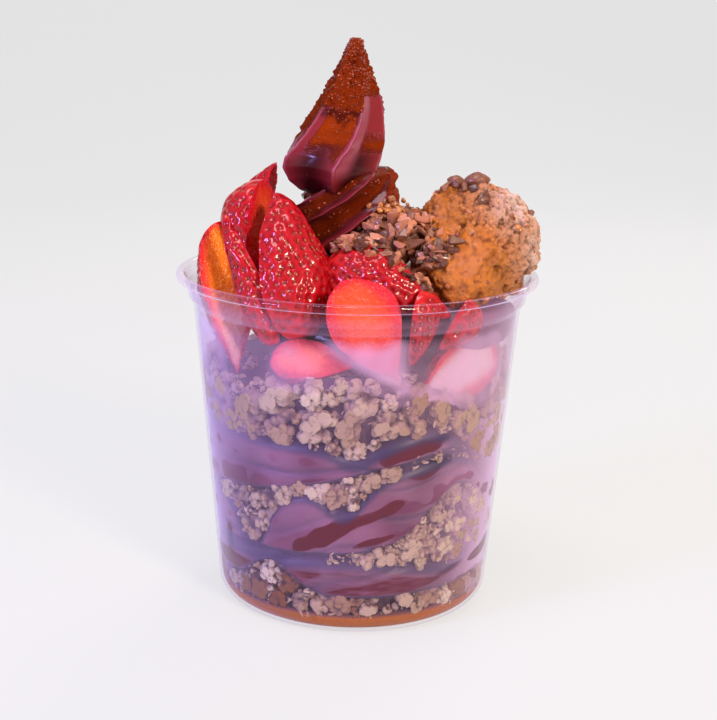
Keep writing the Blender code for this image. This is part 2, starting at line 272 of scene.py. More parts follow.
def model_grain(number: int) -> Piece:
    """Shape one rough grain about 1 mm in radius, with 80 faces.

    Args:
        number: its number, which also shapes it.

    Returns:
        The grain.
    """
    clear_selection()
    bpy.ops.mesh.primitive_ico_sphere_add(subdivisions=2, radius=1.0)
    piece = name_piece(f"grain_shape_{number}")
    paint = add_paint(piece.data)
    for vertex, colour in zip(piece.data.vertices, paint.data):
        bump = ripple(vertex.co, 0.8, 5.3 * number)
        vertex.co *= 0.85 + 0.45 * bump
        colour.color = (limit(0.5 + bump), 0.0, 0.0, 1.0)
    return piece


def discard(pieces: Sequence[Piece]) -> None:
    """Remove templates that have been copied."""
    for piece in pieces:
        bpy.data.objects.remove(piece, do_unlink=True)


def feed(tree: Tree, node: bpy.types.Node, inputs: dict) -> None:
    """Set or link a node's inputs.

    Args:
        tree: the material's node tree.
        node: the node.
        inputs: a value or an output socket for each input, by name or number.
    """
    for name, value in inputs.items():
        if isinstance(value, Socket):
            tree.links.new(value, node.inputs[name])
        else:
            node.inputs[name].default_value = value


def add_node(tree: Tree, kind: str, inputs: dict | None = None,
             stops: Sequence[tuple[float, str]] = (), **settings: object) -> bpy.types.Node:
    """Add a shader node.

    Args:
        tree: the material's node tree.
        kind: the node's type.
        inputs: a value or an output socket for each input, by name or number.
        stops: position and hex colour of each stop, on a colour ramp.
        settings: the node's own properties.

    Returns:
        The node.
    """
    made = tree.nodes.new(kind)
    for name, value in settings.items():
        setattr(made, name, value)
    feed(tree, made, inputs or {})
    for index, (position, code) in enumerate(stops):
        ramp = made.color_ramp.elements
        stop = ramp[index] if index < len(ramp) else ramp.new(position)
        stop.position = position
        stop.color = linear(code)
    return made


def read_paint(tree: Tree) -> list[Socket]:
    """Split a mesh's paint into its three channels."""
    paint = add_node(tree, "ShaderNodeAttribute", attribute_name="paint")
    split = add_node(tree, "ShaderNodeSeparateColor", {0: paint.outputs["Color"]})
    return list(split.outputs)


def object_place(tree: Tree) -> Socket:
    """Where a point lies on the piece, in metres."""
    return add_node(tree, "ShaderNodeTexCoord").outputs["Object"]


def add_noise(tree: Tree, place: Socket, scale: float, detail: float,
              roughness: float) -> Socket:
    """Noise between 0 and 1, with `scale` bumps to a metre."""
    return add_node(tree, "ShaderNodeTexNoise", {
        "Vector": place, "Scale": scale, "Detail": detail, "Roughness": roughness}).outputs[0]


def remap(tree: Tree, value: Socket, low: float, high: float, first: float = 0.0,
          last: float = 1.0, **settings: object) -> Socket:
    """Go from `first` where a value is `low` to `last` where it is `high`."""
    return add_node(tree, "ShaderNodeMapRange", {0: value, 1: low, 2: high, 3: first, 4: last},
                    **settings).outputs[0]


def scale_and_add(tree: Tree, value: Socket, factor: float,
                  added: Socket | float) -> Socket:
    """Multiply a value by a factor and add to it."""
    return add_node(tree, "ShaderNodeMath", {0: value, 1: factor, 2: added},
                    operation="MULTIPLY_ADD").outputs[0]


def blend(tree: Tree, share: Socket, first: Socket | str,
          second: Socket | str) -> Socket:
    """Mix two colours, each an output socket or six hex digits."""
    first, second = (linear(side) if isinstance(side, str) else side for side in (first, second))
    return add_node(tree, "ShaderNodeMix", {0: share, 6: first, 7: second},
                    data_type="RGBA").outputs[2]


def add_bump(tree: Tree, height: Socket, strength: float, depth: float) -> Socket:
    """A surface's direction, roughened by a height; its depth is in metres."""
    return add_node(tree, "ShaderNodeBump", {
        "Strength": strength, "Distance": depth, "Height": height}).outputs[0]


def start_material(name: str) -> tuple[Material, Tree, bpy.types.Node]:
    """Make a material with a Principled shader and nothing else.

    Args:
        name: the material's name.

    Returns:
        The material, its node tree and its Principled node.
    """
    material = bpy.data.materials.new(name)
    material.use_nodes = True
    tree = material.node_tree
    return material, tree, tree.nodes["Principled BSDF"]


# ---------------------------------------------------------------- finishes

@dataclass(frozen=True)
class ClearPolypropylene:
    """Injection-moulded clear polypropylene: glossy, a little milky, misted where food stands off it, with
    painted reflections above the collar and along its ledges and a painted glow at its left and right
    sides.
    """
    tint: str = "DDB2DC"
    # the pale colour the wall takes at grazing angles: partly the cloudy plastic seen edge-on, partly a
    # painted reflection
    edge: str = "D4CEFA"
    clear: float = 0.006         # opacity of the bare wall seen square on
    fog_and_glow_opacity: float = 0.60         # further opacity under a full fog

    def make(self) -> Material:
        """Build the material; the paint's first channel is the cloudiness, which also carries painted
        reflections and a painted glow.

        Returns:
            The material.
        """
        material, tree, shader = start_material("clear_polypropylene_moulded")
        fog_and_glow = read_paint(tree)
        rim = add_node(tree, "ShaderNodeLayerWeight", {"Blend": 0.35}).outputs["Facing"]
        grazing = add_node(tree, "ShaderNodeMath", {0: rim, 1: 2.6}, operation="POWER").outputs[0]
        veil = scale_and_add(tree, fog_and_glow[0], self.fog_and_glow_opacity, self.clear)
        alpha = add_node(tree, "ShaderNodeMath", {0: grazing, 1: 0.70, 2: veil},
                         operation="MULTIPLY_ADD", use_clamp=True).outputs[0]
        # towards grazing angles the wall turns opaque and pale: partly the plastic seen edge-on, partly a
        # painted reflection
        colour = blend(tree, grazing, self.tint, self.edge)
        feed(tree, shader, {
            "Base Color": colour, "Alpha": alpha, "Roughness": 0.30, "IOR": 1.49,
            "Specular IOR Level": 0.0})
        gloss = add_node(tree, "ShaderNodeBsdfGlossy", {"Roughness": 0.07, "Color": linear("FFFFFF")})
        shine = add_node(tree, "ShaderNodeFresnel", {"IOR": 1.27}).outputs[0]
        front = add_node(tree, "ShaderNodeMath", {
            0: 1.0, 1: add_node(tree, "ShaderNodeNewGeometry").outputs["Backfacing"]},
            operation="SUBTRACT").outputs[0]
        mirror = add_node(tree, "ShaderNodeMath", {0: shine, 1: front}, operation="MULTIPLY")
        both = add_node(tree, "ShaderNodeMixShader", {
            0: mirror.outputs[0], 1: shader.outputs[0], 2: gloss.outputs[0]})
        tree.links.new(both.outputs[0], tree.nodes["Material Output"].inputs["Surface"])
        return material


@dataclass(frozen=True)
class PressedAcai:
    """Acai soft-serve pressed on the wall: milky mauve where it stands off, dark wine where it is wet and
    towards the bottom.
    """
    mauve: str = "662E50"
    pale: str = "885474"
    wine: str = "5A1028"
    shade: str = "342C54"

    def make(self) -> Material:
        """Build the material; the paint holds how much wine shows, more where the wall is wet and towards
        the bottom, painted shade in the grooves and under the ribbons' edges, and tone.

        Returns:
            The material.
        """
        material, tree, shader = start_material("acai_soft_serve_pressed")
        paint = read_paint(tree)
        place = object_place(tree)
        streaks = add_node(tree, "ShaderNodeMapping", {"Vector": place, "Scale": (90.0, 90.0, 420.0)})
        fleck = add_noise(tree, streaks.outputs[0], 1.0, 4.0, 0.6)
        tone = scale_and_add(tree, fleck, 0.45, paint[2])
        body = add_node(tree, "ShaderNodeValToRGB", {0: tone},
                        stops=((0.30, self.mauve), (0.95, self.pale)))
        rough = scale_and_add(tree, fleck, 0.5, paint[0])
        wet = remap(tree, rough, 0.62, 0.86, interpolation_type="SMOOTHSTEP")
        wined = blend(tree, wet, body.outputs[0], self.wine)
        shaded = blend(tree, paint[1], wined, self.shade)
        feed(tree, shader, {"Base Color": shaded, "Roughness": 0.42, "IOR": 1.36})
        return material


@dataclass(frozen=True)
class DustedSoftServe:
    """Frozen acai puree drawn from a star nozzle: smooth, wet and dark, dusted with cinnamon and cocoa."""
    flesh: str = "86282E"
    painted_shade: str = "240609"
    # a painted highlight along the flutes' edges and on the right-hand flute's left side
    ridge_highlight: str = "A65468"
    cinnamon: str = "A03806"
    cocoa: str = "541608"

    def make(self) -> Material:
        """Build the material; the paint holds powder, a painted highlight along its flutes' edges, and
        painted shade.

        Returns:
            The material.
        """
        material, tree, shader = start_material("acai_soft_serve_dusted")
        paint = read_paint(tree)
        place = object_place(tree)
        # cinnamon grains of about 0.4 mm, drawn a little coarse so that they show
        grains = add_noise(tree, place, 2100.0, 3.0, 0.75)
        # drifts of powder and melt of about 5 mm
        drifts = add_noise(tree, place, 210.0, 4.0, 0.6)
        flesh = blend(tree, paint[2], self.flesh, self.painted_shade)
        edged = blend(tree, paint[1], flesh, self.ridge_highlight)
        # painted shade also turns the powder towards the darker cocoa
        browned = scale_and_add(tree, drifts, 0.9, paint[2])
        brown = remap(tree, browned, 0.35, 1.25)
        dust = blend(tree, brown, self.cinnamon, self.cocoa)
        speck = scale_and_add(tree, grains, 0.9, paint[0])
        uneven = scale_and_add(tree, drifts, 0.5, speck)
        cover = remap(tree, uneven, 0.95, 1.45, interpolation_type="SMOOTHSTEP")
        colour = blend(tree, cover, edged, dust)
        feed(tree, shader, {"Base Color": colour})
        matt = remap(tree, cover, 0.0, 1.0, 0.22, 0.45)
        feed(tree, shader, {"Roughness": matt})
        lift = add_node(tree, "ShaderNodeMath", {0: grains, 1: cover},
                        operation="MULTIPLY")
        bump = add_bump(tree, lift.outputs[0], 1.0, 0.0008)
        feed(tree, shader, {"Normal": bump, "IOR": 1.38})
        sheen = remap(tree, cover, 0.0, 1.0, 0.38, 0.06)
        feed(tree, shader, {"Specular IOR Level": sheen})
        return material


@dataclass(frozen=True)
class BakedGranola:
    """Oat granola baked in clusters: dry, crumbly and matt, with painted shade in its creases."""
    name: str = "granola_baked"
    oat: str = "C6A294"
    pale: str = "EED4C6"
    # painted shade in the creases
    crease: str = "6A4C50"
    stain: str = "8C523C"

    def make(self) -> Material:
        """Build the material; the paint holds tone, stain and relief.

        Returns:
            The material.
        """
        material, tree, shader = start_material(self.name)
        paint = read_paint(tree)
        place = object_place(tree)
        # oat flakes and crumbs of about 1 mm
        crumb = add_noise(tree, place, 1100.0, 5.0, 0.75)
        toned = blend(tree, paint[0], self.oat, self.pale)
        stained = blend(tree, paint[1], toned, self.stain)
        relief = scale_and_add(tree, crumb, 0.7, paint[2])
        top = remap(tree, relief, 0.50, 1.15)
        # low relief takes the crease colour: painted shade
        colour = blend(tree, top, self.crease, stained)
        feed(tree, shader, {"Base Color": colour, "Roughness": 0.75, "Specular IOR Level": 0.2})
        bump = add_bump(tree, crumb, 1.0, 0.0011)
        feed(tree, shader, {"Normal": bump})
        return material


@dataclass(frozen=True)
class SoakedGranola:
    """The bed behind the clusters: dark, damp crumb, stained by acai, and amber with honey at the floor."""
    crumb: str = "4E3848"
    dark: str = "322A4C"
    honey: str = "C06804"
    honey_top: float = 0.0066     # metres

    def make(self) -> Material:
        """Build the material; the paint's first channel is how thick the layer is there.

        Returns:
            The material.
        """
        material, tree, shader = start_material("granola_bed_soaked")
        paint = read_paint(tree)
        place = object_place(tree)
        grit = add_noise(tree, place, 620.0, 5.0, 0.7)
        body = blend(tree, paint[0], self.dark, self.crumb)
        height = add_node(tree, "ShaderNodeSeparateXYZ", {0: place}).outputs[2]
        low = remap(tree, height, self.honey_top, self.honey_top * 0.8)
        sweet = scale_and_add(tree, grit, 0.6, 0.4)
        glow = add_node(tree, "ShaderNodeMath", {0: low, 1: sweet},
                        operation="MULTIPLY", use_clamp=True)
        colour = blend(tree, glow.outputs[0], body, self.honey)
        feed(tree, shader, {"Base Color": colour, "Roughness": 0.55, "Specular IOR Level": 0.2})
        bump = add_bump(tree, grit, 0.7, 0.001)
        feed(tree, shader, {"Normal": bump})
        return material


@dataclass(frozen=True)
class StrawberrySkin:
    """Ripe strawberry skin: wet and waxy, dark red, dimpled round each seed, with painted shade in the
    dimples.
    """
    ripe: str = "B80A18"
    painted_shade: str = "78020C"
    shoulder: str = "D42218"

    def make(self) -> Material:
        """Build the material; the paint holds the way along the berry, dimple depth, which paints shade
        into the dimples, and tone.

        Returns:
            The material.
        """
        material, tree, shader = start_material("strawberry_skin_wet")
        paint = read_paint(tree)
        place = object_place(tree)
        blush = add_noise(tree, place, 130.0, 3.0, 0.5)
        along = scale_and_add(tree, blush, 0.35, paint[0])
        body = add_node(tree, "ShaderNodeValToRGB", {0: along},
                        stops=((0.05, self.shoulder), (0.45, self.ripe), (1.0, self.ripe)))
        # painted shade in the seed dimples
        colour = blend(tree, paint[1], body.outputs[0], self.painted_shade)
        feed(tree, shader, {"Base Color": colour})
        fine = add_noise(tree, place, 700.0, 2.0, 0.5)
        bump = add_bump(tree, fine, 0.35, 0.0006)
        feed(tree, shader, {
            "Normal": bump, "Roughness": 0.30, "IOR": 1.40, "Specular IOR Level": 0.30,
            "Coat Weight": 0.55, "Coat Roughness": 0.10, "Subsurface Weight": 0.12,
            "Subsurface Radius": (1.0, 0.15, 0.1), "Subsurface Scale": 0.002})
        return material


@dataclass(frozen=True)
class StrawberryFlesh:
    """Fresh-cut strawberry: wet, glistening flesh, red at the skin, orange to pale pink at the core."""
    rim: str = "DC1430"
    middle: str = "F23418"
    core: str = "F65026"
    heart: str = "FAE0E2"
    # orange towards the stem: partly the flesh's own colour, partly painted warm light, strongest on
    # strawberry_01
    orange_and_warm_light_colour: str = "FF8A1E"
    wetness: float = 0.05        # share of light that the wet face mirrors, the same at any angle

    def make(self) -> Material:
        """Build the material; the paint holds nearness to the skin, which towards the tip is also painted
        shade, the orange, which is partly painted warm light, and paleness.

        Returns:
            The material.
        """
        material, tree, shader = start_material("strawberry_flesh_cut")
        paint = read_paint(tree)
        place = object_place(tree)
        # juicy cells of about 1.5 mm
        fibre = add_noise(tree, place, 650.0, 4.0, 0.65)
        depth = scale_and_add(tree, fibre, 0.50, paint[0])
        body = add_node(tree, "ShaderNodeValToRGB", {0: depth},
                        stops=((0.30, self.core), (0.70, self.middle), (1.0, self.rim)))
        orange_and_warm_light = blend(tree, paint[1], body.outputs[0], self.orange_and_warm_light_colour)
        colour = blend(tree, paint[2], orange_and_warm_light, self.heart)
        feed(tree, shader, {"Base Color": colour})
        bump = add_bump(tree, fibre, 1.0, 0.0010)
        feed(tree, shader, {
            "Normal": bump, "Roughness": 0.5, "Specular IOR Level": 0.0, "Subsurface Weight": 0.50,
            "Subsurface Radius": (1.0, 0.3, 0.2), "Subsurface Scale": 0.005})
        wet = add_node(tree, "ShaderNodeBsdfGlossy", {
            "Roughness": 0.20, "Color": linear("FFE8DC"), "Normal": bump})
        both = add_node(tree, "ShaderNodeMixShader", {
            0: self.wetness, 1: shader.outputs[0], 2: wet.outputs[0]})
        tree.links.new(both.outputs[0], tree.nodes["Material Output"].inputs["Surface"])
        return material


@dataclass(frozen=True)
class PlainFood:
    """A small topping with one body colour, mottled a little, dry or wet."""
    name: str
    body: str
    mottle: str
    roughness: float
    grain: float                 # size of the mottle in millimetres
    coat: float = 0.0

    def make(self) -> Material:
        """Build the material; the paint's first channel lightens it.

        Returns:
            The material.
        """
        material, tree, shader = start_material(self.name)
        paint = read_paint(tree)
        place = object_place(tree)
        spots = add_noise(tree, place, 1.0 / (self.grain * MM), 3.0, 0.6)
        share = scale_and_add(tree, spots, 0.6, paint[0])
        mixed = remap(tree, share, 0.25, 1.1)
        colour = blend(tree, mixed, self.body, self.mottle)
        feed(tree, shader, {"Base Color": colour})
        bump = add_bump(tree, spots, 0.5, 0.0003)
        feed(tree, shader, {
            "Normal": bump, "Roughness": self.roughness, "Coat Weight": self.coat,
            "Coat Roughness": 0.08})
        return material


@dataclass(frozen=True)
class ScoopedNutButter:
    """Coarse nut butter with chopped nuts, under runs of clear amber honey."""
    paste: str = "C2721C"
    # painted light on the scoop's upper right and right side
    pale: str = "F4D6C8"
    # painted shade in the pits and the crevice
    brown: str = "481E0A"
    honey: str = "DA7C06"

    def make(self) -> Material:
        """Build the material; the paint holds honey, paleness, which is painted light on the upper right,
        and relief, whose pits take painted shade.

        Returns:
            The material.
        """
        material, tree, shader = start_material("nut_butter_scooped")
        paint = read_paint(tree)
        place = object_place(tree)
        # chopped nuts of about 1 mm
        grit = add_noise(tree, place, 800.0, 4.0, 0.7)
        body = blend(tree, paint[1], self.paste, self.pale)
        relief = scale_and_add(tree, grit, 0.9, paint[2])
        top = remap(tree, relief, 0.70, 1.30)
        # the pits take the dark brown: painted shade
        shaded_in_pits = blend(tree, top, self.brown, body)
        runs = scale_and_add(tree, grit, 0.5, paint[0])
        honeyed = remap(tree, runs, 0.55, 0.95)
        clear = scale_and_add(tree, top, 0.5, 0.35)
        glazed = add_node(tree, "ShaderNodeMath", {0: honeyed, 1: clear},
                          operation="MULTIPLY")
        amber = blend(tree, glazed.outputs[0], shaded_in_pits, self.honey)
        feed(tree, shader, {"Base Color": amber})
        gloss = remap(tree, honeyed, 0.0, 1.0, 0.38, 0.08)
        feed(tree, shader, {"Roughness": gloss})
        bump = add_bump(tree, grit, 1.0, 0.0014)
        feed(tree, shader, {
            "Normal": bump, "Coat Weight": honeyed, "Coat Normal": bump,
            "Coat Roughness": 0.08})
        return material


@dataclass(frozen=True)
class StudioPaper:
    """Seamless matt paper under and behind the cup, lit evenly from behind as in a light tent."""
    colour: str = "6E6E6E"
    glow: str = "EBECEB"
    glow_strength: float = 0.79

    def make(self) -> Material:
        """Build the material, with a paper tooth too fine to see beyond a slight unevenness.

        Returns:
            The material.
        """
        material, tree, shader = start_material("studio_paper_matt")
        place = object_place(tree)
        tooth = add_node(tree, "ShaderNodeTexNoise", {"Vector": place, "Scale": 400.0})
        bump = add_bump(tree, tooth.outputs[0], 0.03, 0.0002)
        feed(tree, shader, {
            "Normal": bump, "Base Color": linear(self.colour), "Emission Color": linear(self.glow),
            "Emission Strength": self.glow_strength, "Roughness": 0.9})
        return material


# ---------------------------------------------------------------- the cup and its filling

class Surface(NamedTuple):
    """A surface between two layers: height on the axis, rise to the right, swells at the wall."""
    height: float
    rise: float
    swells: tuple[Triple, ...]


class Smear(NamedTuple):
    """A streak of acai that wets the wall: angle, height, half length, half width, slope."""
    angle: float
    height: float
    length: float
    width: float
    slope: float


@dataclass
class Filling:
    """Where the layers lie in the cup, and where they wet its wall."""
    floor: float = 1.2
    least_layer: float = 1.6
    ring: float = 0.62           # share of the way out at which each layer has a ring of points
    tilt_radius: float = 45.2    # where a surface's rise is counted
    degree: float = 0.85         # length of a degree along the wall
    surfaces: tuple[Surface, ...] = (
        Surface(1.2, 0.0, ()),
        Surface(12.5, 0.0, ((-35, 14, 9), (150, 40, 3))),
        Surface(25.0, 0.04, ((40, 22, -5.5), (170, 50, 4))),
        Surface(27.5, 0.06, ((44, 20, 18), (190, 30, 6))),
        Surface(50.5, 0.25, ((-3, 10, -9), (-44, 11, -17), (66, 15, -14), (150, 28, -9))),
        Surface(53.0, 0.25, ((68, 16, -15), (180, 60, 4))),
        Surface(62.5, 0.0, ((0, 9, -4), (28, 14, 4), (68, 16, -18), (215, 35, -5))),
        Surface(80.0, 0.0, ((0, 30, 4), (17, 9, -4), (58, 20, -11), (-46, 14, -3), (215, 40, -3))),
    )
    smears: tuple[Smear, ...] = (
        Smear(22, 61.5, 13.0, 2.8, 0.22),
        Smear(29, 54.6, 7.5, 3.4, 0.40),
        Smear(-10, 34.0, 12.5, 3.4, 0.42),
        Smear(10, 41.0, 9.0, 2.4, 0.40),
        Smear(7, 32.4, 7.5, 1.3, 0.28),
        Smear(43, 18.2, 7.0, 1.5, 0.16),
        Smear(54, 11.8, 14.0, 2.2, 0.02),
        Smear(-54, 9.0, 6.0, 5.0, -0.6),
        Smear(-60, 23.0, 2.5, 9.0, 0.0),
        Smear(168, 43.0, 13.0, 3.0, 0.30),
        Smear(205, 32.0, 10.0, 2.6, 0.30),
        Smear(130, 22.0, 12.0, 2.4, -0.2),
        Smear(-110, 56.0, 12.0, 2.8, -0.3),
        Smear(-95, 34.0, 11.0, 2.6, -0.3),
        Smear(95, 48.0, 10.0, 2.6, 0.3),
    )

    def levels(self, angle: float, share: float) -> list[float]:
        """Heights of all the surfaces at a share of the way from the axis to the wall.

        Args:
            angle: an angle round the cup in degrees.
            share: 0 on the axis, 1 at the wall.

        Returns:
            One height for each surface, growing.
        """
        heights: list[float] = []
        for surface in self.surfaces:
            wall = sum(height * bell(angle, middle, width)
                       for middle, width, height in surface.swells)
            across = self.tilt_radius * share * sin(radians(angle))
            height = surface.height + surface.rise * across + wall * share ** 3
            heights.append(max(height, heights[-1] + self.least_layer if heights else self.floor))
        return heights

    def wetness(self, angle: float, height: float) -> float:
        """How wet the wall is, 0 to 1, at an angle and a height.

        Args:
            angle: an angle round the cup in degrees.
            height: a height in millimetres.

        Returns:
            How wet it is.
        """
        most = 0.0
        for smear in self.smears:
            turn = (angle - smear.angle + 180.0) % 360.0 - 180.0
            along = turn * self.degree
            across = height - smear.height - along * smear.slope
            away = hypot(along / smear.length, across / smear.width)
            if away < 1.6:
                grain = ripple(around(angle, WALL_RADIUS, height), 5.0, 3.0)
                most = max(most, 1.0 - ease(0.55, 1.25, away + 0.35 * grain))
        return most


@dataclass
class DeliCup:
    """The clear cup, spun from one profile."""
    filling: Filling
    height: float = 108.0
    rim_radius: float = 58.5
    roll: float = 1.4
    wall: float = 1.0
    floor: float = 1.2
    foot_radius: float = 40.9
    corner: float = 5.8
    wall_foot_radius: float = 45.2
    wall_top_radius: float = 53.0
    wall_top: float = 98.0
    ledge_top: float = 100.4
    collar_radius: float = 54.8
    collar_top: float = 104.8
    steps: int = 288
    wall_rows: int = 110
    fruit: "Sequence[Strawberry]" = ()

    def inner_radius(self, height: float) -> float:
        """Radius of the inside of the wall at a height.

        Args:
            height: a height in millimetres.

        Returns:
            The radius.
        """
        if height < self.corner:
            drop = (self.corner - max(height, self.floor)) / (self.corner - self.floor)
            bend = self.wall_foot_radius - self.wall - self.foot_radius
            return self.foot_radius + bend * cos(asin(drop))
        if height > self.wall_top:
            share = limit((height - self.wall_top) / (self.ledge_top - self.wall_top))
            return self.wall_top_radius - self.wall + share * (
                self.collar_radius - self.wall_top_radius)
        share = (height - self.corner) / (self.wall_top - self.corner)
        return self.wall_foot_radius - self.wall + share * (
            self.wall_top_radius - self.wall_foot_radius)

    def keep_inside(self, point: Vector, room: float = 0.0) -> Vector:
        """Bring a point that stands in the wall back to its inner face.

        Args:
            point: a point in millimetres.
            room: how far from the inner face it stays; negative reaches into the wall.

        Returns:
            The point, moved straight towards the axis if it had to be.
        """
        radius = hypot(point.x, point.y)
        most = self.inner_radius(point.z - 3.0 if point.z > self.wall_top else point.z) - room
        if point.z > self.height + self.roll or radius <= most:
            return point
        return Vector((point.x * most / radius, point.y * most / radius, point.z))

    def profile(self) -> list[tuple[float, float]]:
        """Radius and height along the cup: up its inside, over the rim and down its outside.

        Returns:
            Radius and height of each point, from the axis to the axis.
        """
        def bend(middle: tuple[float, float], radii: tuple[float, float], first: float,
                 last: float, count: int) -> list[tuple[float, float]]:
            """Points along an elliptical bend, between two angles in degrees."""
            turns = [radians(first + (last - first) * step / count) for step in range(count + 1)]
            return [(middle[0] + radii[0] * cos(turn), middle[1] + radii[1] * sin(turn))
                    for turn in turns]

        outer = self.wall_foot_radius - self.foot_radius
        line = [(0.02, self.floor), (20.0, self.floor)]
        line += bend((self.foot_radius, self.corner),
                     (outer - self.wall, self.corner - self.floor), -90, 0, 10)
        for row in range(1, self.wall_rows):
            height = self.corner + (self.wall_top - self.corner) * row / self.wall_rows
            line.append((self.inner_radius(height), height))
        line += [
            (self.wall_top_radius - self.wall, self.wall_top - 0.2),
            (self.wall_top_radius - self.wall + 0.35, self.wall_top + 0.35),
            (self.collar_radius - self.wall - 0.35, self.ledge_top - 0.45),
            (self.collar_radius - self.wall, self.ledge_top + 0.25),
            (self.collar_radius - self.wall + 0.25, self.collar_top - 0.9),
            (self.collar_radius - self.wall + 0.5, self.collar_top - 0.2),
        ]
        line += bend((self.rim_radius - self.roll, self.height - self.roll),
                     (self.roll, self.roll), 180, -90, 18)
        line += [
            (self.collar_radius + 0.9, self.collar_top + 0.25),
            (self.collar_radius + 0.45, self.collar_top - 0.35),
            (self.collar_radius + 0.2, self.collar_top - 1.4),
            (self.collar_radius, self.ledge_top + 0.4),
            (self.collar_radius - 0.3, self.ledge_top - 0.35),
            (self.wall_top_radius + 0.4, self.wall_top + 0.35),
            (self.wall_top_radius, self.wall_top - 0.4),
        ]
        for row in range(1, 12):
            height = self.wall_top + (self.corner - self.wall_top) * row / 12
            line.append((self.inner_radius(height) + self.wall, height))
        line += bend((self.foot_radius, self.corner), (outer, self.corner), 0, -90, 12)
        # the foot stands on a low ring, with its middle raised a little
        line += [(38.6, 0.0), (37.8, 0.5), (0.02, 0.6)]
        return line

    def fog_and_glow(self, point: Vector) -> float:
        """How milky the inside of the wall is at a point in millimetres; above the collar, along the ledges
        and at its left and right sides this is painted reflection and glow.

        Args:
            point: a point in millimetres.

        Returns:
            0 where the wall is clear, 1 where it is fully clouded.
        """
        angle = degrees(atan2(point.x, -point.y))
        height = point.z
        # above the collar and along the two ledges the cloudiness is a painted reflection
        if height > self.collar_top:
            return 0.30
        if height > self.wall_top - 1.0:
            return 0.35 * max(exp(-((height - ledge) / 0.45) ** 2)
                              for ledge in (self.wall_top, self.ledge_top))
        cloud = 0.5 + 0.5 * ripple(point, 17.0, 5.0) + 0.25 * ripple(point, 5.0, 9.0)
        levels = self.filling.levels(angle, 1.0)
        if height > levels[-1] - 3.0:
            # cold fruit mists the wall where it leans on it
            band = 1.0 - ease(92.5, 97.5, height + 1.5 * ripple(point, 6.0, 2.0))
            mist = max(berry.mist * ease(4.5, 1.0, berry.gap_to(point)) for berry in self.fruit)
            return limit((0.20 + 0.28 * cloud + mist * (0.5 + 0.8 * cloud)) * band)
        milky = 0.04 + 0.18 * cloud + 0.25 * bell(angle, -52.0, 16.0) * ease(52.0, 62.0, height)
        # the bells at -75 and 72 degrees paint a glow on the wall's left and right sides
        milky += 0.25 * bell(angle, -75.0, 18.0) + 0.90 * bell(angle, 72.0, 26.0)
        if height < levels[1]:
            milky *= 0.4
        return limit(milky * (1.0 - self.filling.wetness(angle, height)))

    def build(self, finish: ClearPolypropylene) -> Piece:
        """Spin the profile round and cloud the wall, with its painted reflections and glow.

        Args:
            finish: the plastic.

        Returns:
            The cup.
        """
        clear_selection()
        bpy.ops.mesh.primitive_plane_add(size=0.002)
        cup = name_piece("deli_cup_wall")
        bpy.ops.object.mode_set(mode="EDIT")
        bpy.ops.mesh.select_all(action="SELECT")
        bpy.ops.mesh.merge(type="CENTER")
        last = (0.0, 0.0)
        for step, spot in enumerate(self.profile()):
            move = ((spot[0] - last[0]) * MM, 0.0, (spot[1] - last[1]) * MM)
            if step == 0:
                bpy.ops.transform.translate(value=move)
            else:
                bpy.ops.mesh.extrude_region_move(TRANSFORM_OT_translate={"value": move})
            last = spot
        bpy.ops.mesh.select_all(action="SELECT")
        bpy.ops.mesh.spin(steps=self.steps, angle=2.0 * pi, center=(0.0, 0.0, 0.0),
                          axis=(0.0, 0.0, 1.0))
        bpy.ops.mesh.select_all(action="SELECT")
        bpy.ops.mesh.remove_doubles(threshold=WELD)
        bpy.ops.mesh.normals_make_consistent(inside=False)
        bpy.ops.object.mode_set(mode="OBJECT")
        bpy.ops.object.shade_smooth_by_angle(angle=radians(50.0))
        paint = add_paint(cup.data)
        for vertex, colour in zip(cup.data.vertices, paint.data):
            point = vertex.co / MM
            inside = hypot(point.x, point.y) < self.inner_radius(point.z) + 0.4
            colour.color = (self.fog_and_glow(point) if inside and point.z > self.floor else 0.0, 0.0, 0.0, 1.0)
        dress(cup, finish.make())
        return cup


class LayerKind(Enum):
    """What a layer of the filling is made of."""
    GRANOLA = "granola"
    ACAI = "acai"


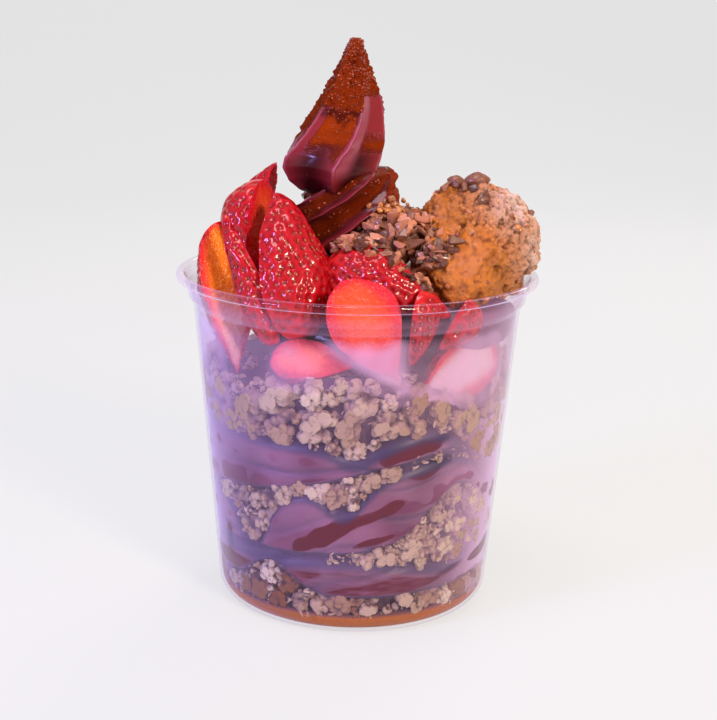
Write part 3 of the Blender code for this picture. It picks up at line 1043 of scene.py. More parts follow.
@dataclass
class Layer:
    """One layer of the filling, out to the wall of the cup."""
    node: str
    index: int
    kind: LayerKind
    cup: DeliCup
    sides: int = 360
    side_step: float = 0.8       # mm between rows up the side
    recess: float = 4.4          # how far a granola bed stands back from the wall
    lip: float = 4.8             # how far from its top a ribbon of acai starts to turn in
    under_lip: float = 2.2       # and how far from its underside
    lip_depth: float = 4.4
    honey_line: float = 5.6      # up to here the honeyed base fills the foot of the cup
    groove_slope: float = 0.16
    groove_pitch: float = 9.5

    def build(self, material: Material) -> Piece:
        """Mould the layer.

        Args:
            material: its finish.

        Returns:
            The layer's piece.
        """
        filling = self.cup.filling
        spans = [filling.levels(float(angle), 1.0) for angle in range(0, 360, 6)]
        tallest = max(span[self.index + 1] - span[self.index] for span in spans)
        up = max(8, round(tallest / self.side_step))
        shares = [0.0, 0.3, filling.ring, 0.85] + [1.0] * (up + 1) + [0.85, filling.ring, 0.3, 0.0]
        rises = [0.0] * 4 + [step / up for step in range(up + 1)] + [1.0] * 4
        rows = len(shares) - 1
        known: dict[tuple[float, float], list[float]] = {}

        def place(angle: float, share: float) -> Spot:
            """A point of the layer: in along its underside, up its side and in over its top."""
            row = round(share * rows)
            reach, rise = shares[row], rises[row]
            key = (round(angle, 3), reach)
            if key not in known:
                known[key] = filling.levels(angle, reach)
            low, high = known[key][self.index:self.index + 2]
            thick = high - low
            height = low + thick * rise
            if self.index == 0:
                height = max(height, self.cup.floor - 0.1)
            point = around(angle, self.cup.inner_radius(height), height)
            if self.kind is LayerKind.ACAI:
                return self.fold(angle, reach, rise, thick, point)
            return self.bed(angle, reach, thick, point)

        piece = mould_ball(f"{self.node}_{'folds' if self.kind is LayerKind.ACAI else 'bed'}",
                           self.sides, rows, place, material)
        return piece

    def fold(self, angle: float, reach: float, rise: float, thick: float,
             point: Vector) -> Spot:
        """Shape acai: soft ribbons that round off at their edges and just reach into the wall.

        Args:
            angle: an angle round the cup in degrees.
            reach: share of the way from the axis to the wall.
            rise: share of the way up the layer.
            thick: the layer's thickness there.
            point: the point before it is shaped.

        Returns:
            The point and its paint.
        """
        height = point.z
        # a ribbon turns in slowly at its top and sharply underneath
        lip = 1.0 - limit(min(rise * thick / self.under_lip, (1.0 - rise) * thick / self.lip))
        back = self.lip_depth * (1.0 - sqrt(max(0.0, 1.0 - lip * lip)))
        phase = (height - self.groove_slope * WALL_RADIUS * sin(radians(angle))) / self.groove_pitch
        phase += 0.55 * ripple(point, 26.0, 11.0)
        groove = (1.0 - abs(sin(pi * phase))) ** 3
        groove *= 0.45 + 0.55 * ease(-0.3, 0.4, ripple(point, 22.0, 7.0))
        wet = self.cup.filling.wetness(angle, height) if reach == 1.0 else 0.0
        groove *= 1.0 - wet
        # the acai also turns darker wine towards the bottom, below about 36 mm
        wet = max(wet, 0.53 * ease(36.0, 18.0, height))
        back += 1.3 * groove + 0.25 * (0.5 + 0.5 * ripple(point, 6.0, 1.0)) * (1.0 - wet)
        radius = reach * (hypot(point.x, point.y) + 0.12 - back)
        top = 1.2 * (rise - 0.5) * 2.0 if 0.0 < rise < 1.0 else 1.2 * (1.0 if rise else -1.0)
        # painted shade where a ribbon turns in towards its edges and in the grooves
        dark = limit(ease(0.05, 0.55, lip) + 0.75 * groove)
        tone = 0.45 + 0.65 * ripple(point, 13.0, 4.0) - 0.15 * groove
        return around(angle, radius, height + top), (wet, dark, tone)

    def bed(self, angle: float, reach: float, thick: float,
            point: Vector) -> Spot:
        """Shape the crumb bed behind the clusters: rough, and stood back from the wall.

        Args:
            angle: an angle round the cup in degrees.
            reach: share of the way from the axis to the wall.
            thick: the layer's thickness there.
            point: the point before it is shaped.

        Returns:
            The point and its paint.
        """
        recess = self.recess * (0.75 + 0.25 * ease(3.0, 9.0, thick))
        if self.index == 0:
            recess *= ease(self.honey_line, self.honey_line + 2.0, point.z)
        rough = 0.9 * ripple(point, 4.0, 2.0) + 0.8 * pebbles(point, 2.6)
        radius = reach * (hypot(point.x, point.y) - recess + rough * min(1.0, recess))
        return around(angle, radius, point.z), (ease(2.5, 6.0, thick), 0.0, 0.0)


class Plan(NamedTuple):
    """What lies in a granola layer: sizes from least to greatest, places tried, crumbs and heaped."""
    name: str
    index: int
    smallest: float
    largest: float
    tries: int
    crumbs: int
    heaped: int = 0


@dataclass
class Clusters:
    """Baked granola clusters and crumbs, pressed on the wall and heaped on the top layer."""
    cup: DeliCup
    seed: int = 11
    shapes: int = 14             # large clusters
    small_shapes: int = 8
    crumb_shapes: int = 6
    flakes: int = 3              # the last of the crumb shapes, which are oat flakes
    packing: float = 0.76        # how near two clusters lie, as a share of their radii
    small: float = 2.7           # a cluster under this radius uses a small shape
    honey_line: float = 5.6      # the base layer's clusters lie above the honeyed foot
    plans: tuple[Plan, ...] = (
        Plan("granola_clusters_base", 0, 1.5, 4.2, 1700, 190),
        Plan("granola_clusters_lower", 2, 1.4, 3.9, 2400, 190),
        Plan("granola_clusters_middle", 4, 1.4, 3.7, 2400, 180),
        Plan("granola_clusters_top", 6, 1.8, 5.9, 4200, 260, 150),
    )

    def model_cluster(self, number: int, subdivisions: int, knobs: int) -> Piece:
        """Shape one baked cluster about 1 mm in radius.

        Args:
            number: its number, which also seeds it.
            subdivisions: how fine it is.
            knobs: how many round oats and puffs it is baked together from.

        Returns:
            The cluster.
        """
        chance = Random(self.seed * 31 + number)
        puffs = []
        for _ in range(knobs):
            way = Vector((chance.gauss(0, 1), chance.gauss(0, 1), chance.gauss(0, 1))).normalized()
            puffs.append((way * chance.uniform(0.48, 0.78), chance.uniform(0.20, 0.40)))
        clear_selection()
        bpy.ops.mesh.primitive_ico_sphere_add(subdivisions=subdivisions, radius=1.0)
        piece = name_piece(f"cluster_shape_{number}")
        paint = add_paint(piece.data)
        for vertex, colour in zip(piece.data.vertices, paint.data):
            way = vertex.co.normalized()
            reaches = [0.45, 0.40]
            for middle, size in puffs:
                along = way.dot(middle)
                inside = size * size - middle.length_squared + along * along
                if along > 0.0 and inside > 0.0:
                    reaches.append(along + sqrt(inside))
            reaches.sort()
            crease = 1.0 - limit((reaches[-1] - reaches[-2]) / 0.09)
            crumb = pebbles(way, 0.26, number)
            vertex.co = way * (reaches[-1] - 0.06 * crease + 0.12 * (crumb - 0.5)
                               + 0.05 * ripple(way, 0.16, number))
            # the relief falls in the creases, where the granola's finish paints shade
            relief = 0.35 + 0.65 * (reaches[-1] - 0.45) / 0.55 - 0.35 * crease + 0.25 * (crumb - 0.6)
            colour.color = (limit(relief), 0.0, 0.0, 1.0)
        return piece

    def model_flake(self, number: int) -> Piece:
        """Shape one rolled-oat flake about 1 mm in radius.

        Args:
            number: its number, which also bends it.

        Returns:
            The flake.
        """
        clear_selection()
        bpy.ops.mesh.primitive_uv_sphere_add(segments=10, ring_count=5, radius=1.0)
        piece = name_piece(f"flake_shape_{number}")
        bpy.ops.transform.resize(value=(1.15, 0.8, 0.26))
        bpy.ops.object.transform_apply(location=True, rotation=True, scale=True)
        paint = add_paint(piece.data)
        for vertex, colour in zip(piece.data.vertices, paint.data):
            vertex.co.z += 0.18 * ripple(vertex.co, 0.7, number)
            colour.color = (0.8, 0.0, 0.0, 1.0)
        return piece

    def at_wall(self, plan: Plan) -> list[Copy]:
        """Press clusters on the wall in one layer, the largest first.

        Args:
            plan: the layer's plan.

        Returns:
            The clusters' places.
        """
        index = plan.index
        chance = Random(self.seed + index)
        browned = 1.0 if index == 0 else 0.35
        taken: list[Triple] = []
        copies: list[Copy] = []
        for attempt in range(plan.tries):
            share = attempt / plan.tries
            size = plan.largest + (plan.smallest - plan.largest) * share ** 0.9
            size *= chance.uniform(0.85, 1.15)
            angle = chance.uniform(-180.0, 180.0)
            low, high = self.cup.filling.levels(angle, 1.0)[index:index + 2]
            if high - low < 3.0:
                continue
            room = min(size * 0.55, (high - low) * 0.3)
            height = chance.uniform(low + room, high - room)
            if index == 0:
                height = max(height, size * 0.8 + self.honey_line)
            along = radians(angle) * WALL_RADIUS
            if any(hypot(along - other[0], height - other[1]) < (size + other[2]) * self.packing
                   for other in taken):
                continue
            taken.append((along, height, size))
            stand = self.cup.inner_radius(height) - size * chance.uniform(0.45, 0.85)
            tone = chance.random()
            damp = 0.5 * ease(4.0, 1.0, height - low) * chance.random()
            stain = max(damp, browned * chance.random())
            shape = chance.randrange(self.shapes)
            if size < self.small:
                shape = self.shapes + chance.randrange(self.small_shapes)
            turn = turn_at_random(chance)
            stretch = Matrix.Diagonal(Vector((
                chance.uniform(0.85, 1.35), chance.uniform(0.85, 1.2), chance.uniform(0.85, 1.2), 1.0)))
            place = Matrix.Translation(around(angle, stand, height)) @ turn @ stretch
            copies.append(Copy(shape, place @ Matrix.Scale(size, 4), tone, stain))
        return copies

    def crumbs_at_wall(self, index: int, count: int) -> list[Copy]:
        """Fill the gaps between clusters with crumbs and oat flakes on the wall.

        Args:
            index: the layer's number from the floor.
            count: how many are laid.

        Returns:
            Their places.
        """
        chance = Random(self.seed * 3 + index)
        copies: list[Copy] = []
        while len(copies) < count:
            angle = chance.uniform(-180.0, 180.0)
            low, high = self.cup.filling.levels(angle, 1.0)[index:index + 2]
            spill = chance.gauss(0.0, 1.3)
            if high - low < 2.4:
                continue
            height = max(self.honey_line if index == 0 else low, chance.uniform(low, high) + spill)
            size = chance.uniform(0.5, 1.5)
            shape = self.shapes + self.small_shapes + chance.randrange(self.crumb_shapes)
            stand = self.cup.inner_radius(height) - size * chance.uniform(0.3, 1.2)
            turn = turn_at_random(chance)
            place = Matrix.Translation(around(angle, stand, height)) @ turn
            copies.append(Copy(shape, place @ Matrix.Scale(size, 4), chance.random(),
                               0.5 * chance.random() ** 3))
        return copies

    def on_top(self, count: int) -> list[Copy]:
        """Heap clusters on the top layer, between its edge and the crown of acai.

        Args:
            count: how many are laid.

        Returns:
            Their places.
        """
        chance = Random(self.seed * 7)
        copies: list[Copy] = []
        while len(copies) < count:
            angle, share = chance.uniform(-180.0, 180.0), chance.uniform(0.55, 0.96)
            size = chance.uniform(1.6, 4.2)
            height = self.cup.filling.levels(angle, share)[-1] - size * chance.uniform(0.0, 0.6)
            radius = share * self.cup.inner_radius(height)
            turn = turn_at_random(chance)
            place = Matrix.Translation(around(angle, radius, height)) @ turn
            copies.append(Copy(self.shapes + chance.randrange(self.small_shapes),
                               place @ Matrix.Scale(size, 4), chance.random(), 0.3 * chance.random()))
        return copies

    def build(self, material: Material) -> list[Piece]:
        """Model the shapes once and lay them in all four granola layers.

        Args:
            material: the granola's finish.

        Returns:
            One piece for each layer.
        """
        templates = [self.model_cluster(number, 4, 32) for number in range(self.shapes)]
        templates += [self.model_cluster(30 + number, 3, 14) for number in range(self.small_shapes)]
        templates += [self.model_cluster(50 + number, 2, 5)
                      for number in range(self.crumb_shapes - self.flakes)]
        templates += [self.model_flake(number) for number in range(self.flakes)]
        pieces = []

        def settle(point: Vector) -> Vector:
            """Keep a point off the floor and inside the wall."""
            point.z = max(point.z, self.cup.floor)
            return self.cup.keep_inside(point, -0.1)

        for plan in self.plans:
            copies = self.at_wall(plan)
            copies += self.crumbs_at_wall(plan.index, plan.crumbs)
            copies += self.on_top(plan.heaped)
            pieces.append(lay_copies(plan.name, templates, copies, settle, material))
        discard(templates)
        return pieces


# ---------------------------------------------------------------- the acai peak

class Station(NamedTuple):
    """A level of the swirl: height, radius, middle x, depth of the flutes, twist in degrees."""
    height: float
    radius: float
    middle: float
    flute: float
    twist: float


@dataclass
class SoftServe:
    """The crown and coil, and the peak that folds over them, drawn from a star nozzle."""
    depth: float = 4.0
    peak: tuple[Station, ...] = (
        Station(128.0, 1.0, -6.0, 0.0, -34),
        Station(131.5, 8.0, -6.5, 0.10, -32),
        Station(134.5, 12.6, -7.6, 0.16, -30),
        Station(138.0, 15.0, -8.6, 0.20, -27),
        Station(141.5, 16.6, -9.2, 0.22, -24),
        Station(144.5, 16.7, -8.7, 0.24, -19),
        Station(148.0, 15.5, -7.1, 0.26, -13),
        Station(152.0, 14.0, -5.8, 0.28, -8),
        Station(156.0, 12.4, -4.6, 0.28, -5),
        Station(160.0, 10.8, -3.6, 0.27, -3),
        Station(165.0, 8.8, -2.9, 0.26, 0),
        Station(170.0, 6.3, -2.4, 0.25, 0),
        Station(174.5, 4.3, -2.1, 0.22, 0),
        Station(178.5, 2.7, -1.9, 0.15, 0),
        Station(180.2, 1.9, -1.8, 0.05, 0),
        Station(180.9, 0.6, -1.8, 0.0, 0),
    )
    coil: tuple[Station, ...] = (
        Station(85.5, 26.5, -1.0, 0.05, -200),
        Station(96.0, 30.0, -1.0, 0.06, -185),
        Station(106.0, 27.5, -2.5, 0.10, -160),
        Station(113.0, 21.5, -5.5, 0.18, -128),
        Station(118.0, 18.5, -6.0, 0.24, -104),
        Station(124.0, 18.2, -6.0, 0.27, -72),
        Station(129.0, 18.6, -5.0, 0.28, -46),
        Station(133.0, 17.2, -3.6, 0.26, -26),
        Station(136.5, 14.0, -1.6, 0.20, -12),
        Station(139.5, 8.0, 1.0, 0.10, -4),
        Station(140.5, 1.0, 2.0, 0.0, 0),
    )
    peak_ridges: tuple[float, ...] = (-158.0, -97.0, -46.0, 28.0, 90.0, 148.0)
    coil_ridges: tuple[float, ...] = (-150.0, -90.0, -30.0, 30.0, 90.0, 150.0)
    lean: float = 0.20
    lean_height: float = 136.0
    lean_reach: float = 10.0
    crown_front: float = 14.0
    crown_front_height: float = 90.0
    crust_height: float = 159.0
    highest: float = 181.3       # nothing on the tip stands over this
    crumbs: int = 1100
    crumb_shapes: int = 4
    coil_turn: int = 5           # one crumb in this many lies on the coil
    rows: int = 150
    sides: int = 330
    seed: int = 23

    @staticmethod
    def station_at(stations: Sequence[Station], height: float) -> Station:
        """Blend the two stations nearest a height.

        Args:
            stations: the stations, from the lowest.
            height: a height in millimetres.

        Returns:
            The blended station.
        """
        if height <= stations[0].height:
            return stations[0]
        for low, high in zip(stations, stations[1:]):
            if height <= high.height:
                share = ease(0.0, 1.0, (height - low.height) / (high.height - low.height)) * 0.4
                share += 0.6 * (height - low.height) / (high.height - low.height)
                return Station(*(a + (b - a) * share for a, b in zip(low, high)))
        return stations[-1]

    @staticmethod
    def flute_at(ridges: Sequence[float], angle: float) -> tuple[float, float, int]:
        """Where an angle lies between two ridges.

        Args:
            ridges: the ridges' angles, growing.
            angle: an angle in degrees.

        Returns:
            The share of the way between them, the angle between them and the flute's number.
        """
        angle = (angle - ridges[0]) % 360.0 + ridges[0]
        ends = (*ridges[1:], ridges[0] + 360.0)
        for number, (start, end) in enumerate(zip(ridges, ends)):
            if angle <= end:
                return (angle - start) / (end - start), end - start, number
        return 0.0, 60.0, 0

    def coil_place(self, angle: float, share: float, rows: int) -> Spot:
        """A point of the crown and coil.

        Args:
            angle: an angle round the piece in degrees.
            share: share of the rows from its foot to its top.
            rows: how many rows it has.

        Returns:
            The point, and its powder, painted highlight and painted shade.
        """
        first, last = self.coil[0], self.coil[-1]
        if share in (0.0, 1.0):
            end = first if share == 0.0 else last
            return Vector((end.middle, self.depth, end.height + (2.2 if share else 0.0))), (0, 0, 0)
        step = (share * rows - 1.0) / (rows - 2.0)
        height = first.height + (last.height - first.height) * step
        station = self.station_at(self.coil, height)
        across_flute, gap, _ = self.flute_at(self.coil_ridges, angle)
        valley = sin(pi * across_flute) ** 0.8
        radius = station.radius * (1.0 - station.flute * valley * gap / 60.0)
        turn = angle + station.twist
        low = exp(-((height - self.crown_front_height) / 10.0) ** 2)
        radius += self.crown_front * low * bell(turn, 0.0, 50.0)
        turned = radians(turn)
        across = radius * sin(turned)
        lean = self.lean * across * exp(-((height - self.lean_height) / self.lean_reach) ** 2)
        point = Vector((station.middle + across, self.depth - radius * cos(turned), height + lean))
        edge = 1.0 - ease(0.0, 0.05, min(across_flute, 1.0 - across_flute))
        crumbly = ease(7.0, 11.0, point.x) * ease(119.0, 125.0, point.z)
        out = Vector((sin(turned), -cos(turned), 0.2))
        point += out * (0.30 * edge * ripple(point, 1.3, 3.0) + 0.35 * ripple(point, 9.0, 6.0)
                        + crumbly * (0.9 * pebbles(point, 2.4, 8.0) - 0.4))
        dust = ease(0.06, 0.22, across_flute) * (1.0 - ease(0.70, 0.88, across_flute))
        dust *= ease(112.0, 122.0, point.z) * (0.85 + 0.25 * ripple(point, 7.0, 1.0))
        dust = max(dust * 0.9, 0.95 * crumbly)
        # painted shade in the flutes' hollows and low down on the coil
        painted_shade = limit(0.22 + valley * 0.9 * (1.0 - 0.9 * dust) + 0.5 * (1.0 - ease(104.0, 122.0, height)))
        # the second channel is a painted highlight along the flutes' edges
        return point, (limit(1.15 * dust), 0.10 * edge * ease(114.0, 126.0, height), painted_shade)

    def peak_place(self, angle: float, share: float, rows: int) -> Spot:
        """A point of the peak.

        Args:
            angle: an angle round the piece in degrees.
            share: share of the rows from its foot to its top.
            rows: how many rows it has.

        Returns:
            The point, and its powder, painted highlight and painted shade.
        """
        first, last = self.peak[0], self.peak[-1]
        if share in (0.0, 1.0):
            end = first if share == 0.0 else last
            return Vector((end.middle, self.depth, end.height)), (share, 0.0, 1.0 - share)
        step = (share * rows - 1.0) / (rows - 2.0)
        height = first.height + (last.height - first.height) * step
        station = self.station_at(self.peak, height)
        across_flute, gap, flute = self.flute_at(self.peak_ridges, angle)
        valley = sin(pi * across_flute) ** 0.75
        radius = station.radius * (1.0 - station.flute * valley * gap / 60.0)
        turned = radians(angle + station.twist)
        point = Vector((station.middle + radius * sin(turned),
                        self.depth - radius * cos(turned), height))
        # the drawn edges droop at the foot of the peak
        point.z -= 1.2 * (1.0 - valley) * bell(height, 138.0, 7.0)
        edge = 1.0 - ease(0.0, 0.045, min(across_flute, 1.0 - across_flute))
        # cocoa crumbs cling over the tip and down the left-hand edges
        shoulder = self.crust_height + 4.0 * ripple(point, 6.0, 2.0) + 1.6 * ripple(point, 1.8, 5.0)
        if flute in (0, 1):
            shoulder -= 9.0 * (1.0 - ease(0.0, 0.35, min(across_flute, 1.0 - across_flute)))
        if flute == 3:
            shoulder += 4.0
        crust = ease(shoulder - 2.0, shoulder + 2.0, height)
        out = Vector((sin(turned), -cos(turned), 0.05))
        point += out * (0.20 * edge * ripple(point, 1.8, 3.0) + 0.30 * ripple(point, 11.0, 6.0)
                        + crust * (0.9 * pebbles(point, 1.6, 8.0) + 0.5 * ripple(point, 0.9, 4.0) - 0.5))
        point.z = min(point.z, self.highest)
        lower = ease(142.0, 150.0, height + 3.0 * ripple(point, 8.0, 5.0))
        dust = ease(0.07, 0.22, across_flute) * (1.0 - ease(0.90, 0.99, across_flute)) * lower
        if flute == 1:
            dust = ease(0.05, 0.2, across_flute) * lower * 0.55
        if flute == 3:
            dust = (1.0 - ease(144.0, 156.0, height)) * ease(0.25, 0.55, across_flute) * lower
        dust = max(dust, crust)
        sheen = ease(0.02, 0.06, across_flute) * (1.0 - ease(0.20, 0.60, across_flute))
        sheen *= 0.8 if flute == 3 else 0.0
        # painted shade in the upper flutes' hollows and at the peak's foot; over the crust it darkens the
        # cocoa
        dark = valley * (1.0 - lower) * 0.9 + 0.6 * (1.0 - ease(131.0, 139.0, height)) + 0.28 * crust
        # a shadowed notch where the crust ends over the front flute
        dark += 0.9 * exp(-((height - shoulder + 2.2) / 1.4) ** 2) * (flute == 2)
        # painted highlight along the edges, and a painted sheen on the right-hand flute
        ridge_highlight = max(0.80 * edge * (1.0 - 0.8 * crust), sheen * (1.0 - crust))
        return point, (limit(dust), limit(ridge_highlight * ease(137.0, 142.0, height)), limit(dark))

    def build(self, material: Material) -> Piece:
        """Mould the coil and the peak and join them.

        Args:
            material: the soft-serve's finish.

        Returns:
            The swirl.
        """
        coil = mould_ball("acai_coil", self.sides, self.rows,
                          lambda angle, share: self.coil_place(angle, share, self.rows), material)
        peak = mould_ball("acai_peak", self.sides, self.rows,
                          lambda angle, share: self.peak_place(angle, share, self.rows), material)
        return join_pieces("acai_soft_serve_swirl", [coil, peak])

    def scatter(self, material: Material) -> Piece:
        """Lay loose cocoa and cinnamon crumbs over the tip, the edges and the coil.

        Args:
            material: the crumbs' finish.

        Returns:
            One piece with all the crumbs.
        """
        chance = Random(self.seed)
        templates = [model_grain(number) for number in range(self.crumb_shapes)]
        copies: list[Copy] = []
        while len(copies) < self.crumbs:
            angle, share = chance.uniform(-180.0, 180.0), chance.uniform(0.18, 0.99)
            if len(copies) % self.coil_turn == 0:
                point, paint = self.coil_place(angle, chance.uniform(0.55, 0.95), self.rows)
                size = chance.uniform(0.20, 0.60)
            else:
                point, paint = self.peak_place(angle, share, self.rows)
                size = chance.uniform(0.15, 0.38) + 0.10 * (point.z > self.crust_height)
            if chance.random() > paint[0] ** 2 + 0.03:
                continue
            copies.append(Copy(chance.randrange(len(templates)), tumble(chance, point, size),
                               chance.random(), 0.0))
        crumbs = lay_copies("cocoa_crumbs", templates, copies,
                            lambda point: Vector((point.x, point.y, min(point.z, self.highest))),
                            material)
        discard(templates)
        return crumbs


# ---------------------------------------------------------------- the toppings

@dataclass
class NutButterScoop:
    """The rough scooped ball with its ragged skirt and runs of honey."""
    cup: DeliCup
    middle: Triple = (38.3, -5.0, 117.6)
    radii: Triple = (19.4, 19.2, 19.6)
    # direction, reach in millimetres and spread in radians of what stands out of the ball
    bulges: tuple[tuple[Triple, float, float], ...] = (
        ((-0.66, -0.70, -0.28), 7.5, 0.50),
        ((-0.17, -0.87, -0.46), 8.5, 0.34),
        ((-0.62, -0.25, 0.74), 2.6, 0.32),
    )
    spills: tuple[Triple, ...] = ((8.5, -11.0, 129.5), (12.5, -12.0, 128.0))
    ditch: Triple = (0.76, -0.50, -0.40)
    bed_middle: Triple = (31.0, -15.0, 95.5)
    bed_radii: Triple = (20.0, 20.0, 9.5)
    sides: int = 380
    rows: int = 220
    bed_sides: int = 120
    bed_rows: int = 60
    nuts: int = 620              # pressed into the ball
    spilled: int = 90            # fallen between it and the peak
    nut_shapes: int = 5
    seed: int = 41

    def surface(self, way: Vector) -> tuple[Vector, float]:
        """The scoop's surface in a direction from its middle, and its relief there.

        Args:
            way: a direction of length 1.

        Returns:
            The point in millimetres, and 0 to 1.
        """
        reach = sum(out * exp(-(way.angle(Vector(middle)) / spread) ** 2)
                    for middle, out, spread in self.bulges)
        base = Vector(radius * share for radius, share in zip(self.radii, way))
        spot = Vector(self.middle) + base
        lump = pebbles(spot, 4.4, 1.0)
        crumb = pebbles(spot, 2.0, 6.0)
        grit = pebbles(spot, 1.0, 3.0)
        relief = 1.5 * (lump - 0.75) + 1.2 * (crumb - 0.7) + 0.6 * (grit - 0.7)
        relief += 1.0 * ripple(spot, 8.0, 4.0) + 0.9 * ripple(spot, 2.6, 9.0)
        crevice = 1.4 * exp(-(way.angle(Vector(self.ditch)) / 0.12) ** 2)
        reach += relief - 1.3 * crevice
        # the crevice and the pits lower the relief, which the finish paints as shade
        tops = 0.05 + 0.25 * lump + 0.40 * crumb + 0.35 * grit - 0.55 * crevice
        return spot + way * reach, limit(tops)

    def build(self, material: Material) -> Piece:
        """Mould the scoop.

        Args:
            material: its finish.

        Returns:
            The scoop.
        """
        def place(angle: float, share: float) -> Spot:
            """A point of the scoop, with its honey, paleness and relief."""
            rise = radians(180.0 * share - 90.0)
            way = around(angle, cos(rise), sin(rise))
            point, relief = self.surface(way)
            point = self.cup.keep_inside(point, 0.1)
            honey = exp(-(way.angle(Vector((-0.25, -0.92, 0.10))) / 0.62) ** 2)
            honey = max(honey, 0.9 * exp(-(way.angle(Vector((-0.62, -0.5, 0.55))) / 0.42) ** 2))
            honey *= 0.75 + 0.5 * ripple(point, 6.0, 9.0)
            # the paleness on the upper right and the right side is painted light
            pale = exp(-(way.angle(Vector((0.55, -0.42, 0.68))) / 0.54) ** 2)
            pale = max(pale, 0.9 * exp(-(way.angle(Vector((0.85, -0.45, 0.0))) / 0.45) ** 2))
            return point, (limit(honey), limit(pale * (0.8 + 0.4 * ripple(point, 5.0, 2.0))), relief)

        return mould_ball("nut_butter_scooped_ball", self.sides, self.rows, place, material)

    def bed(self, material: Material) -> Piece:
        """Mould the acai that the scoop sinks into, which shows through the collar beside it.

        Args:
            material: the acai's finish.

        Returns:
            The piece.
        """
        def place(angle: float, share: float) -> Spot:
            """A point of the acai, with how shaded it is."""
            rise = pi * (share - 0.5)
            way = around(angle, cos(rise), sin(rise))
            spot = Vector(self.bed_middle) + Vector(
                radius * part for radius, part in zip(self.bed_radii, way))
            spot += way * (1.4 * ripple(spot, 9.0, 2.0) + 0.5 * ripple(spot, 3.0, 6.0))
            dark = 0.35 + 0.5 * ripple(spot, 8.0, 5.0)
            return self.cup.keep_inside(spot, 0.2), (0.0, limit(dark), 0.5)

        return mould_ball("acai_under_scoop", self.bed_sides, self.bed_rows, place, material)

    def stud(self, material: Material) -> Piece:
        """Set chopped nuts into the scoop, and spill some between it and the peak.

        Args:
            material: the nuts' finish.

        Returns:
            One piece with all the nuts.
        """
        chance = Random(self.seed)
        templates = [model_grain(10 + number) for number in range(self.nut_shapes)]
        copies: list[Copy] = []
        for _ in range(self.nuts):
            way = Vector((chance.gauss(0, 1), chance.gauss(0, 1), chance.gauss(0.2, 1))).normalized()
            size = 0.45 + 0.75 * chance.random() ** 2
            point = self.surface(way)[0] - way * size * chance.uniform(0.1, 0.7)
            copies.append(Copy(chance.randrange(len(templates)), tumble(chance, point, size),
                               chance.random(), 0.0))
        for _ in range(self.spilled):
            middle = Vector(chance.choice(self.spills))
            point = middle + Vector((chance.gauss(0, 1.5), chance.gauss(0, 1.3), chance.gauss(0, 1.3)))
            size = chance.uniform(0.5, 1.4)
            copies.append(Copy(chance.randrange(len(templates)), tumble(chance, point, size),
                               chance.random(), 0.0))
        nuts = lay_copies("chopped_nut_pieces", templates, copies,
                          lambda point: self.cup.keep_inside(point, 0.1), material)
        discard(templates)
        return nuts


